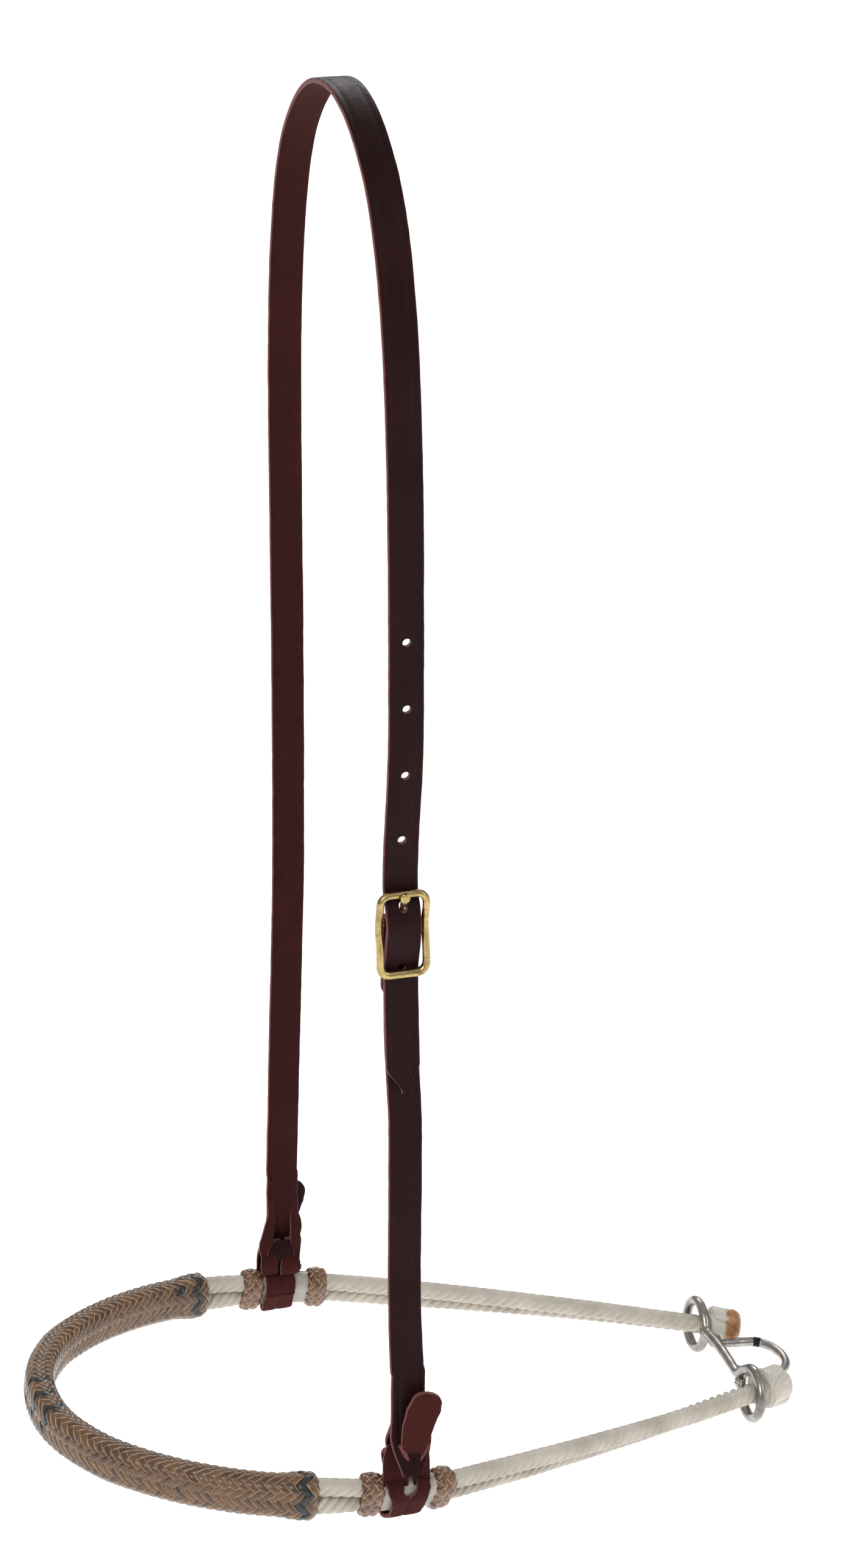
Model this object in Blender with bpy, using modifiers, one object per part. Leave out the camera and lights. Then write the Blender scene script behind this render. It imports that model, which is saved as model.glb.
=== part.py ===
"""A double-rope western noseband on a single-strap leather headstall, with tie-down hardware.

Metres, +Z up, +X from the nose to the jaw, +Y to the far side. The origin is the underside of the
crown strap at its top, where a head or a peg holds it up.
"""

import math

import bmesh
import bpy
import numpy as np
from mathutils import Matrix, Vector

MM = 0.001

# Headstall strap
STRAP_WIDTH = 12.7 * MM
STRAP_THICK = 2.0 * MM
CROWN_HALF_WIDTH = 74 * MM
LOOP_DROP = 506 * MM
LOOP_BACK = -3 * MM
LOOP_SPREAD = 83.2 * MM
HOLE_PITCH = 24.2 * MM
HOLE_RADIUS = 1.6 * MM
HOLE_COUNT = 6
TONGUE_HOLE_RISE = 7.3 * MM
BILLET_TIP_Z = -346 * MM
BILLET_TAPER = 11 * MM
BILLET_SHIFT = -2.0 * MM
CHEEK_SHIFT = -1.4 * MM
GAP = 0.3 * MM

# Buckle
BUCKLE_WIDTH = 19.8 * MM
BUCKLE_HEIGHT = 33 * MM
BUCKLE_ROD = 2.8 * MM
BUCKLE_CORNER = 3.6 * MM
CENTRE_BAR_ROD = 2.4 * MM
CENTRE_BAR_DROP = 4.2 * MM
CENTRE_BAR_BELOW_TOP = 12 * MM
BUCKLE_TOP_Z = -269.2 * MM
BUCKLE_PLANE_Y = -77.4 * MM
TONGUE_ROD = 2.2 * MM
TURNBACK_LENGTH = 34 * MM

# Noseband
NOSEBAND_DROOP = math.radians(5.74)
NOSE_REACH = 118.7 * MM
RING_REACH = 161.3 * MM
RING_SPREAD = 29.6 * MM
COVER_END = -34.5 * MM
ROPE_DIAMETER = 7.0 * MM
ROPE_PITCH = 7.25 * MM
ROPE_SIDES = 8
ROPE_END = 164.0 * MM

# Half sections of what wraps the two ropes: along the pair, across it
ROPE_BORE = (7.45 * MM, 3.85 * MM)
COVER_BODY = (8.5 * MM, 5.8 * MM)
COVER_END_BULGE = (9.6 * MM, 7.0 * MM)
COVER_END_LIP = (8.3 * MM, 5.7 * MM)
SLEEVE_OUTER = (7.95 * MM, 4.35 * MM)
BRAID_PITCH = 3.6 * MM
INLAY_FROM_END = 7.0 * MM
INLAY_SPACING = 3 * BRAID_PITCH
NOSE_INLAY_SHIFT = -4.4 * MM
INLAY_WIDTH = 3.0 * MM
INLAY_THICK = 0.5 * MM
RING_KNOT_OUTER = (9.5 * MM, 6.0 * MM)
RING_KNOT_WIDTH = 8.0 * MM
FRONT_KNOT_AT = -14.4 * MM
REAR_KNOT_AT = 13.0 * MM
END_KNOT_RADII = {"near": 8.3 * MM, "far": 7.5 * MM}
END_KNOT_LIFTS = {"near": 0.0, "far": 0.8 * MM}
END_KNOT_START = 164.6 * MM
END_KNOT_SIDES = 16
# Along the knot, share of its radius
END_KNOT_PROFILE = [
    (0.0, 0.62),
    (0.6 * MM, 0.83),
    (2.0 * MM, 0.96),
    (4.5 * MM, 1.0),
    (8.5 * MM, 0.98),
    (11.5 * MM, 0.88),
    (13.4 * MM, 0.66),
    (14.4 * MM, 0.30),
]

# Leather bleed knots
LOOP_BORE = (9.2 * MM, 5.5 * MM)
LOOP_WIDTH = 12.2 * MM
STRAP_END = 10.2 * MM
KNOT_TOP = 31 * MM
TAIL_WIDTH = 11 * MM
CHEVRON_THICK = 4.2 * MM
# The doubled strap above the ropes, in mm: height over them, width
CHEVRON = [(10.6, 5), (13.5, 9), (20, 14.2), (26, 15.6), (31, 14.6), (36, 12.7)]
# The tail that comes out of the slit, in mm: sideways, outwards, height, and share of its width
TAIL_LINE = [
    (0, 1.2, 14, 0.55),
    (0.6, 3.4, 19, 0.9),
    (1.8, 4.6, 26, 1),
    (3.4, 5.2, 34, 1),
    (5.2, 5.8, 42.5, 0.75),
]

# Tie-down hardware
WIRE = 3.9 * MM
RING_RADIUS = 9.65 * MM
DEE_DEPTH = 28.5 * MM
DEE_HALF_WIDTH = 13 * MM

LOOP_CENTRE = Vector((LOOP_BACK, 0, -LOOP_DROP))
BAR_CENTRE = Vector(
    (BILLET_SHIFT, BUCKLE_PLANE_Y + CENTRE_BAR_DROP, BUCKLE_TOP_Z - CENTRE_BAR_BELOW_TOP)
)
BUCKLE_BOTTOM_Z = BUCKLE_TOP_Z - (BUCKLE_HEIGHT - BUCKLE_ROD)

COLOURS = {
    "leather": ((0.042, 0.010, 0.011), 0.42, 0.0),
    "rope": ((0.62, 0.58, 0.48), 0.5, 0.0),
    "rawhide": ((0.20, 0.10, 0.048), 0.45, 0.0),
    "black_rawhide": ((0.008, 0.009, 0.010), 0.45, 0.0),
    "ring_rawhide": ((0.27, 0.12, 0.050), 0.42, 0.0),
    "sleeve": ((0.40, 0.36, 0.30), 0.35, 0.0),
    "nickel": ((0.52, 0.49, 0.46), 0.22, 1.0),
    "brass": ((0.58, 0.42, 0.16), 0.24, 1.0),
    "thread": ((0.10, 0.020, 0.018), 0.7, 0.0),
}


# --- scene and mesh helpers -------------------------------------------------


def clear_scene():
    for obj in list(bpy.data.objects):
        bpy.data.objects.remove(obj, do_unlink=True)


def new_collection(name, helper=False):
    collection = bpy.data.collections.new(name)
    bpy.context.scene.collection.children.link(collection)
    collection.hide_render = helper
    return collection


def material(name):
    found = bpy.data.materials.get(name)
    if found:
        return found
    colour, rough, metal = COLOURS[name]
    made = bpy.data.materials.new(name)
    made.use_nodes = True
    shader = made.node_tree.nodes["Principled BSDF"]
    shader.inputs["Base Color"].default_value = (*colour, 1)
    shader.inputs["Roughness"].default_value = rough
    shader.inputs["Metallic"].default_value = metal
    return made


def add_object(name, mesh, look, smooth_angle=35):
    obj = bpy.data.objects.new(name, mesh)
    PARTS.objects.link(obj)
    mesh.materials.clear()
    mesh.materials.append(material(look))
    mesh.shade_smooth()
    mesh.set_sharp_from_angle(angle=math.radians(smooth_angle))
    return obj


def helper_object(name, mesh):
    obj = bpy.data.objects.new(name, mesh)
    CUTTERS.objects.link(obj)
    obj.hide_render = True
    obj.display_type = "WIRE"
    return obj


def boolean(obj, other, operation):
    made = obj.modifiers.new(operation.lower(), "BOOLEAN")
    made.operation = operation
    made.solver = "EXACT"
    made.object = other


def mesh_of(name, verts, faces):
    mesh = bpy.data.meshes.new(name)
    mesh.from_pydata([tuple(v) for v in verts], [], faces)
    work = bmesh.new()
    work.from_mesh(mesh)
    bmesh.ops.recalc_face_normals(work, faces=work.faces)
    if work.calc_volume(signed=True) < 0:
        bmesh.ops.reverse_faces(work, faces=work.faces)
    work.to_mesh(mesh)
    work.free()
    return mesh


def tube(name, rings, bores):
    """A tube through closed outer loops and the loops of its bore, all of equal length."""
    count = len(rings[0])
    verts = [point for ring in rings for point in ring]
    faces = []
    base = len(verts)
    verts += [point for ring in bores for point in ring]
    last = (len(rings) - 1) * count
    for i in range(count):
        j = (i + 1) % count
        for skin in (0, base):
            for start in range(skin, skin + last, count):
                faces.append((start + i, start + j, start + count + j, start + count + i))
        faces.append((i, j, base + j, base + i))
        faces.append((last + i, last + j, base + last + j, base + last + i))
    return mesh_of(name, verts, faces)


def wire(name, points, radius, look, cyclic=False, sides=2):
    """A round wire through the points, as a mesh."""
    curve = bpy.data.curves.new(name, "CURVE")
    curve.dimensions = "3D"
    curve.bevel_depth = radius
    curve.bevel_resolution = sides
    curve.use_fill_caps = True
    spline = curve.splines.new("POLY")
    spline.points.add(len(points) - 1)
    for point, place in zip(spline.points, points):
        point.co = (*place, 1)
    spline.use_cyclic_u = cyclic
    obj = bpy.data.objects.new(name + "_curve", curve)
    bpy.context.scene.collection.objects.link(obj)
    graph = bpy.context.evaluated_depsgraph_get()
    mesh = bpy.data.meshes.new_from_object(obj.evaluated_get(graph))
    bpy.data.objects.remove(obj, do_unlink=True)
    work = bmesh.new()
    work.from_mesh(mesh)
    bmesh.ops.remove_doubles(work, verts=work.verts, dist=0.01 * MM)
    work.to_mesh(mesh)
    work.free()
    mesh.name = name
    return add_object(name, mesh, look) if look else helper_object(name, mesh)


# --- curves -----------------------------------------------------------------


def smooth_curve(points, per_span=12):
    """A centripetal Catmull-Rom curve through hand-chosen points: it doesn't overshoot."""
    p = np.array([points[0], *points, points[-1]], float)
    p[0] = 2 * p[1] - p[2]
    p[-1] = 2 * p[-2] - p[-3]
    out = []
    for i in range(1, len(p) - 2):
        near = p[i - 1 : i + 3]
        knots = np.concatenate([[0], np.cumsum(np.linalg.norm(np.diff(near, axis=0), axis=1) ** 0.5)])
        for t in np.linspace(knots[1], knots[2], per_span, endpoint=False):
            level = [near[k] for k in range(4)]
            for span in (1, 2, 3):
                level = [
                    mixed(level[k], level[k + 1], (t - low) / (high - low))
                    for k, (low, high) in enumerate(blend_spans(knots, span))
                ]
            out.append(level[0])
    out.append(p[-2])
    return np.array(out)


def blend_spans(knots, level):
    """The knot pairs that each level of the Catmull-Rom pyramid mixes between."""
    if level == 1:
        return [(knots[k], knots[k + 1]) for k in range(3)]
    if level == 2:
        return [(knots[k], knots[k + 2]) for k in range(2)]
    return [(knots[1], knots[2])]


def mixed(a, b, share):
    return a * (1 - share) + b * share


def resample(points, count):
    """The same curve as points at equal distances."""
    steps = np.linalg.norm(np.diff(points, axis=0), axis=1)
    along = np.concatenate([[0], np.cumsum(steps)])
    wanted = np.linspace(0, along[-1], count)
    return np.stack([np.interp(wanted, along, points[:, k]) for k in range(points.shape[1])], axis=1)


def thinned(points, turn=11, reach=12 * MM):
    """The same curve with fewer points: one wherever it has turned or run far enough."""
    kept = [points[0]]
    heading = points[1] - points[0]
    for i in range(1, len(points) - 1):
        ahead = points[i + 1] - points[i]
        cosine = np.dot(heading, ahead) / np.linalg.norm(heading) / np.linalg.norm(ahead)
        turned = math.degrees(math.acos(min(max(cosine, -1), 1)))
        if turned > turn or np.linalg.norm(points[i] - kept[-1]) > reach:
            kept.append(points[i])
            heading = ahead
    kept.append(points[-1])
    return np.array(kept)


def ramp(x, low, high):
    t = min(max((x - low) / (high - low), 0.0), 1.0)
    return t * t * (3 - 2 * t)


# --- noseband frame ---------------------------------------------------------

# The noseband's centre line in its own plane: along (nose to rings) and out from the middle
HALF_OUTLINE = [
    (-NOSE_REACH, 0),
    (-116 * MM, 20 * MM),
    (-106.5 * MM, 39.5 * MM),
    (-97.6 * MM, 50 * MM),
    (-82.7 * MM, 62.4 * MM),
    (-67 * MM, 71.4 * MM),
    (-52 * MM, 77.2 * MM),
    (-33 * MM, 81.4 * MM),
    (-14.4 * MM, 83.0 * MM),
    (0, LOOP_SPREAD),
    (13 * MM, 81.8 * MM),
    (30 * MM, 77.2 * MM),
    (56 * MM, 69.2 * MM),
    (90 * MM, 57.8 * MM),
    (126 * MM, 44.4 * MM),
    (RING_REACH, RING_SPREAD),
    (RING_REACH + 18 * MM, RING_SPREAD - 6.6 * MM),
]


def noseband_line():
    near = [(u, -v) for u, v in reversed(HALF_OUTLINE)]
    far = HALF_OUTLINE[1:]
    return resample(smooth_curve(near + far), 1201)


def in_plane(u, v, lift=0.0):
    """World place of a point of the noseband's plane, lift above it."""
    c, s = math.cos(NOSEBAND_DROOP), math.sin(NOSEBAND_DROOP)
    return LOOP_CENTRE + Vector((u * c + lift * s, v, -u * s + lift * c))


def direction(u, v, lift=0.0):
    return in_plane(u, v, lift) - in_plane(0, 0)


def lean(u, v):
    """How far the upper rope leans towards -Y, in radians: upright in the cover, near flat at the rings."""
    tilt = 28 * ramp(u, COVER_END, -6 * MM) + 31 * ramp(u, 14 * MM, RING_REACH)
    return math.radians(tilt) * (1 if v < 0 else -1)


def station(index):
    """(centre, pair direction, across direction, u, v) of the two ropes at a point of the line."""
    before = LINE[max(index - 3, 0)]
    after = LINE[min(index + 3, len(LINE) - 1)]
    tangent = (after - before) / np.linalg.norm(after - before)
    u, v = LINE[index]
    outward = direction(-tangent[1], tangent[0]).normalized()
    if outward.dot(direction(u, v)) < 0:
        outward = -outward
    up = direction(0, 0, 1)
    angle = lean(u, v)
    pair = up * math.cos(angle) + outward * math.sin(angle)
    across = outward * math.cos(angle) - up * math.sin(angle)
    return in_plane(u, v), pair, across, u, v


def index_at(u, side):
    """The point of the line at u on the near (-1) or far (+1) side."""
    wanted = [i for i in range(len(LINE)) if LINE[i][1] * side > 0]
    return min(wanted, key=lambda i: abs(LINE[i][0] - u))


def stadium(centre, pair, across, half, count=16):
    """A closed loop with straight flanks and round ends: half = (along the pair, across it)."""
    long, short = half
    straight = long - short
    loop = []
    for k in range(count):
        angle = 2 * math.pi * (k + 0.5) / count
        c, s = math.cos(angle), math.sin(angle)
        end = straight if c > 0 else -straight
        loop.append(centre + pair * (end + short * c) + across * (short * s))
    return loop


def wrap_mesh(name, indices, halves, bore=ROPE_BORE, count=16):
    """A tube round both ropes: its outer half section at each station, and one bore."""
    places = [station(i) for i in indices]
    outer = [stadium(*p[:3], half, count) for p, half in zip(places, halves)]
    inner = [stadium(*p[:3], bore, count) for p in places]
    return tube(name, outer, inner)


def wrap(name, look, indices, halves, bore=ROPE_BORE):
    return add_object(name, wrap_mesh(name, indices, halves, bore), look)


def scaled(half, more):
    return tuple(h + more for h in half)


# --- noseband parts ---------------------------------------------------------


def build_ropes():
    first, last = index_at(ROPE_END, -1), index_at(ROPE_END, 1)
    indices = [round(i) for i in np.linspace(first, last, 66)]
    for name, side in (("rope_upper", 1), ("rope_lower", -1)):
        points = []
        for index in indices:
            centre, pair, _, _, _ = station(index)
            points.append(centre + pair * (side * ROPE_PITCH / 2))
        wire(name, points, ROPE_DIAMETER / 2, "rope", sides=2)


def build_cover():
    first, last = index_at(COVER_END, -1), index_at(COVER_END, 1)
    indices = [round(i) for i in np.linspace(first, last, 45)]
    step = np.linalg.norm(LINE[1] - LINE[0])
    halves = []
    for index in indices:
        from_end = min(index - first, last - index) * step
        bulge = ramp(from_end, 0, 3.5 * MM) * (1 - ramp(from_end, 8 * MM, 17 * MM))
        base = COVER_END_LIP if from_end < 4 * MM else COVER_BODY
        halves.append(tuple(b + (e - b) * bulge for b, e in zip(base, COVER_END_BULGE)))
    wrap("braid_cover", "rawhide", indices, halves)
    return indices, halves


def build_inlays(indices, halves):
    """Rings of black strand laid over the cover: one near each end and three at the nose."""
    step = np.linalg.norm(LINE[1] - LINE[0])
    middle = (indices[0] + indices[-1]) // 2 + round(NOSE_INLAY_SHIFT / step)
    width = round(INLAY_WIDTH / 2 / step)
    ends = round(INLAY_FROM_END / step)
    nose = round(INLAY_SPACING / step)
    places = {
        "inlay_near_end": indices[0] + ends,
        "inlay_nose_near": middle - nose,
        "inlay_nose_middle": middle,
        "inlay_nose_far": middle + nose,
        "inlay_far_end": indices[-1] - ends,
    }
    for name, centre in places.items():
        at = [centre - width, centre + width]
        base = [
            tuple(np.interp(i, indices, [h[k] for h in halves]) for k in range(2)) for i in at
        ]
        largest = tuple(max(b[k] for b in base) for k in range(2))
        inner = scaled(largest, 0.25 * MM)
        wrap(name, "black_rawhide", at, [scaled(inner, INLAY_THICK)] * 2, bore=inner)


def build_ring_knots():
    step = np.linalg.norm(LINE[1] - LINE[0])
    half = RING_KNOT_WIDTH / 2 / step
    for side, side_name in ((-1, "near"), (1, "far")):
        for at, end_name in ((FRONT_KNOT_AT, "front"), (REAR_KNOT_AT, "rear")):
            middle = index_at(at, side)
            turns = np.linspace(-1, 1, 7)
            indices = [round(middle + t * half) for t in turns]
            halves = []
            for t in turns:
                inset = (1 - math.sqrt(max(1 - abs(t) ** 3, 0))) * 1.5 * MM
                halves.append(scaled(RING_KNOT_OUTER, -inset))
            wrap(f"ring_knot_{side_name}_{end_name}", "ring_rawhide", indices, halves)


def build_sleeves():
    step = np.linalg.norm(LINE[1] - LINE[0])
    clear = RING_KNOT_WIDTH / 2 + GAP
    for side, name in ((-1, "wear_sleeve_near"), (1, "wear_sleeve_far")):
        ends = sorted((index_at(FRONT_KNOT_AT, side), index_at(REAR_KNOT_AT, side)))
        inset = clear / step + 1
        indices = [round(i) for i in np.linspace(ends[0] + inset, ends[1] - inset, 6)]
        wrap(name, "sleeve", indices, [SLEEVE_OUTER] * len(indices))


def build_end_knots():
    """A turned barrel with round shoulders and a domed, melted end, on the ropes' own line."""
    for side, place in ((-1, "near"), (1, "far")):
        name = f"end_knot_{place}"
        profile = [(END_KNOT_RADII[place] * share, along) for along, share in END_KNOT_PROFILE]
        profile = [(0, profile[0][1]), *profile, (0, profile[-1][1])]
        near_end = index_at(RING_REACH + 4 * MM, side)
        far_end = index_at(RING_REACH + 14 * MM, side)
        axis = (in_plane(*LINE[far_end]) - in_plane(*LINE[near_end])).normalized()
        knot = add_object(name, turned_profile(name, profile), "rope")
        knot.location = in_plane(END_KNOT_START, LINE[near_end][1], END_KNOT_LIFTS[place])
        knot.rotation_euler = axis.to_track_quat("Z", "Y").to_euler()
        turn = knot.modifiers.new("turn", "SCREW")
        turn.steps = END_KNOT_SIDES
        turn.render_steps = END_KNOT_SIDES
        turn.use_merge_vertices = True
        turn.merge_threshold = 0.01 * MM
        turn.use_smooth_shade = True


def turned_profile(name, profile):
    """The edges of a turned shape, (radius, height), laid so that Screw's faces point outwards."""
    mesh = bpy.data.meshes.new(name)
    verts = [(radius, 0, height) for radius, height in reversed(profile)]
    mesh.from_pydata(verts, [(k, k + 1) for k in range(len(verts) - 1)], [])
    return mesh


# --- hardware ---------------------------------------------------------------


def arc(centre, start, end, radius, count):
    """Points (y, lift) of an arc; angles in degrees from +Y towards up."""
    out = []
    for angle in np.linspace(math.radians(start), math.radians(end), count):
        out.append((centre[0] + radius * math.cos(angle), centre[1] + radius * math.sin(angle)))
    return out


def build_hardware():
    """One wire bent into ring, bar and ring, and the loop welded behind the bar."""
    far = arc((RING_SPREAD, 0), -176, 152, RING_RADIUS, 24)
    near = arc((-RING_SPREAD, 0), 52, 343, RING_RADIUS, 22)
    bar = [
        (RING_SPREAD - 10.0 * MM, 2.9 * MM),
        (RING_SPREAD - 12.4 * MM, 2.2 * MM),
        (13 * MM, 2.4 * MM),
        (8 * MM, 2.6 * MM),
        (0, 2.3 * MM),
        (-8 * MM, 1.5 * MM),
        (-RING_SPREAD + 15.6 * MM, 0.8 * MM),
        (-RING_SPREAD + 13.2 * MM, 1.6 * MM),
        (-RING_SPREAD + 10.4 * MM, 4.6 * MM),
    ]
    points = [in_plane(RING_REACH, y, lift) for y, lift in far + bar + near]
    rings = wire("ring_bar_wire", points, WIRE / 2, "nickel", sides=2)
    # Each ring's end is welded to the bar
    far_weld = in_plane(RING_REACH, RING_SPREAD - 9.7 * MM, 1.2 * MM)
    near_weld = in_plane(RING_REACH, -RING_SPREAD + 11.2 * MM, -1.0 * MM)
    boolean(rings, weld_bead("weld_far", far_weld), "UNION")
    boolean(rings, weld_bead("weld_near", near_weld), "UNION")
    front = RING_REACH + WIRE / 2 + GAP
    back = RING_REACH + DEE_DEPTH - 2 * MM
    half = DEE_HALF_WIDTH
    loop = [(front, -half), (front + 6 * MM, -half)]
    loop += [
        (back - 9 * MM + 9 * MM * math.sin(a), -half * math.cos(a))
        for a in np.linspace(0.15, math.pi / 2, 7)
    ]
    mirrored = [(u, -y) for u, y in reversed(loop[:-1])]
    outline = resample(np.array(loop + mirrored), 26)
    tilt = -1.2 * MM
    wire("dee_loop", [in_plane(u, y + 1 * MM, tilt) for u, y in outline], WIRE * 0.46, "nickel", sides=2)


def weld_bead(name, place):
    mesh = bpy.data.meshes.new(name)
    work = bmesh.new()
    bmesh.ops.create_icosphere(work, subdivisions=1, radius=WIRE * 0.62)
    bmesh.ops.translate(work, verts=work.verts, vec=place)
    work.to_mesh(mesh)
    work.free()
    return helper_object(name, mesh)


# --- straps -----------------------------------------------------------------


def ribbon(name, points, widths, thick, look, leans=None):
    """A strap along world points, its width along X turned by a yaw, made solid by Solidify."""
    points = [Vector(p) for p in points]
    verts, faces = [], []
    for i, place in enumerate(points):
        yaw = math.radians(leans[i]) if leans is not None else 0
        tangent = (points[min(i + 1, len(points) - 1)] - points[max(i - 1, 0)]).normalized()
        across = Vector((math.cos(yaw), math.sin(yaw), 0))
        across = (across - tangent * across.dot(tangent)).normalized()
        verts += [place - across * widths[i] / 2, place + across * widths[i] / 2]
        if i:
            faces.append((2 * i - 2, 2 * i - 1, 2 * i + 1, 2 * i))
    mesh = bpy.data.meshes.new(name)
    mesh.from_pydata([tuple(v) for v in verts], [], faces)
    obj = add_object(name, mesh, look) if look else helper_object(name, mesh)
    shell = obj.modifiers.new("thickness", "SOLIDIFY")
    shell.thickness = thick
    shell.offset = 0
    shell.use_even_offset = True
    return obj


# Half of the crown strap's centre line (y, z), from its top down one leg
ARCH = [
    (0, STRAP_THICK / 2),
    (14 * MM, -0.6 * MM),
    (27.7 * MM, -6 * MM),
    (40 * MM, -14.5 * MM),
    (51.5 * MM, -26.5 * MM),
    (61.5 * MM, -46 * MM),
    (69.6 * MM, -77 * MM),
    (CROWN_HALF_WIDTH, -122 * MM),
    (74.8 * MM, -176 * MM),
    (75.0 * MM, -225 * MM),
]


def build_crown_strap():
    """One strap from the billet's tip up over the head and down to the far side's knot."""
    plane = BUCKLE_PLANE_Y
    behind = BUCKLE_ROD / 2 + STRAP_THICK / 2 + 0.8 * MM
    bar_z = BAR_CENTRE.z
    billet = [
        (plane + behind + 0.3 * MM, BUCKLE_TOP_Z + 12 * MM),
        (plane + behind, BUCKLE_TOP_Z + 0.2 * MM),
        (plane + 0.3 * MM, BUCKLE_TOP_Z - 6.5 * MM),
        (plane - 0.75 * MM, bar_z - 0.5 * MM),
        (plane + 0.6 * MM, bar_z - 8 * MM),
        (plane + 3.1 * MM, BUCKLE_BOTTOM_Z + 1 * MM),
        (plane + 3.0 * MM, BUCKLE_BOTTOM_Z - 9 * MM),
        (plane + 1.6 * MM, BUCKLE_BOTTOM_Z - 30 * MM),
        (plane + 0.2 * MM, BILLET_TIP_Z),
    ]
    far_leg = [(79 * MM, -356 * MM), (80.6 * MM, -420 * MM), (LOOP_SPREAD, -LOOP_DROP + KNOT_TOP + 8 * MM)]
    line = [(y, z) for y, z in reversed(billet)]
    line += [(-y, z) for y, z in reversed(ARCH)] + ARCH[1:] + far_leg
    line.append((LOOP_SPREAD, -LOOP_DROP + STRAP_END))
    path = thinned(smooth_curve(line, 24), reach=9 * MM)
    points, widths = [], []
    for y, z in path:
        if y < 0:
            x = BILLET_SHIFT * ramp(z, -200 * MM, BUCKLE_TOP_Z) if z < 0 else 0
        else:
            x = LOOP_BACK * ramp(z, -300 * MM, -LOOP_DROP + 60 * MM)
        points.append((x, y, z))
        taper = ramp(z, BILLET_TIP_Z - 1 * MM, BILLET_TIP_Z + BILLET_TAPER) if y < 0 else 1
        widths.append(STRAP_WIDTH * max(0.12, taper))
    strap = ribbon("crown_strap", points, widths, STRAP_THICK, "leather")
    add_leather_knot(strap, "far", 1)
    for number in range(HOLE_COUNT):
        worn = number == HOLE_COUNT - 2
        z = BAR_CENTRE.z + TONGUE_HOLE_RISE + (HOLE_COUNT - 2 - number) * HOLE_PITCH
        boolean(strap, punch(f"punch_{number + 1}", z, worn), "DIFFERENCE")


def punch(name, z, long):
    """A cutter for one hole; the tongue's own hole is worn long."""
    mesh = bpy.data.meshes.new(name)
    work = bmesh.new()
    bmesh.ops.create_cone(
        work, cap_ends=True, segments=12, radius1=HOLE_RADIUS, radius2=HOLE_RADIUS, depth=14 * MM
    )
    turned = Matrix.Rotation(math.pi / 2, 4, "X")
    stretch = Matrix.Diagonal((1, 1, 1.9 if long else 1, 1))
    x = BILLET_SHIFT * ramp(z, -200 * MM, BUCKLE_TOP_Z)
    place = Matrix.Translation((x, BUCKLE_PLANE_Y + 1.5 * MM, z))
    bmesh.ops.transform(work, verts=work.verts, matrix=place @ stretch @ turned)
    work.to_mesh(mesh)
    work.free()
    return helper_object(name, mesh)


def add_leather_knot(strap, side_name, side):
    """The strap's end: round the ropes, back up through its own slit and out as a tail."""
    centre = Vector((LOOP_BACK, side * LOOP_SPREAD, -LOOP_DROP))
    step = np.linalg.norm(LINE[1] - LINE[0])
    middle = index_at(0, side)
    reach = LOOP_WIDTH / 2 / step
    indices = [round(middle + t * reach) for t in (-1, -0.5, 0, 0.5, 1)]
    outer = [scaled(LOOP_BORE, STRAP_THICK)] * len(indices)
    loop = helper_object(f"loop_{side_name}", wrap_mesh(f"loop_{side_name}", indices, outer, LOOP_BORE))
    boolean(strap, loop, "UNION")
    widths = [width * MM for _, width in CHEVRON]
    points = [(centre.x, centre.y + side * 1.1 * MM, centre.z + z * MM) for z, _ in CHEVRON]
    body = ribbon(f"chevron_{side_name}", points, widths, CHEVRON_THICK, None)
    boolean(strap, body, "UNION")
    tail = [
        (centre.x - side * x * MM, centre.y + side * y * MM, centre.z + z * MM)
        for x, y, z, _ in TAIL_LINE
    ]
    tail_widths = [TAIL_WIDTH * share for *_, share in TAIL_LINE]
    flap = ribbon(f"tail_{side_name}", tail, tail_widths, STRAP_THICK, None)
    boolean(strap, flap, "UNION")


def cheek_line():
    """(y, z) of the cheek strap's centre line, from the turn-back's end over the bar and down."""
    bar = BAR_CENTRE
    wrap_radius = CENTRE_BAR_ROD / 2 + STRAP_THICK / 2 + 0.35 * MM
    line = [
        (bar.y + 4.4 * MM, bar.z - TURNBACK_LENGTH),
        (bar.y + 4.4 * MM, bar.z - 20 * MM),
        (bar.y + 3.4 * MM, bar.z - 9 * MM),
    ]
    line += [
        (bar.y + wrap_radius * math.cos(a), bar.z + wrap_radius * math.sin(a))
        for a in np.linspace(-0.3, math.pi + 0.3, 9)
    ]
    line += [
        (bar.y - 0.1 * MM, bar.z - 10 * MM),
        (BUCKLE_PLANE_Y + 5.5 * MM, BUCKLE_BOTTOM_Z + 0.5 * MM),
        (BUCKLE_PLANE_Y + 5.45 * MM, BUCKLE_BOTTOM_Z - 9 * MM),
        (BUCKLE_PLANE_Y + 4.1 * MM, BUCKLE_BOTTOM_Z - 30 * MM),
        (BUCKLE_PLANE_Y + 2.6 * MM, BILLET_TIP_Z - 2 * MM),
        (-78.6 * MM, -388 * MM),
        (-80.8 * MM, -430 * MM),
        (-LOOP_SPREAD, -LOOP_DROP + KNOT_TOP + 8 * MM),
        (-LOOP_SPREAD, -LOOP_DROP + STRAP_END),
    ]
    return line


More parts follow.
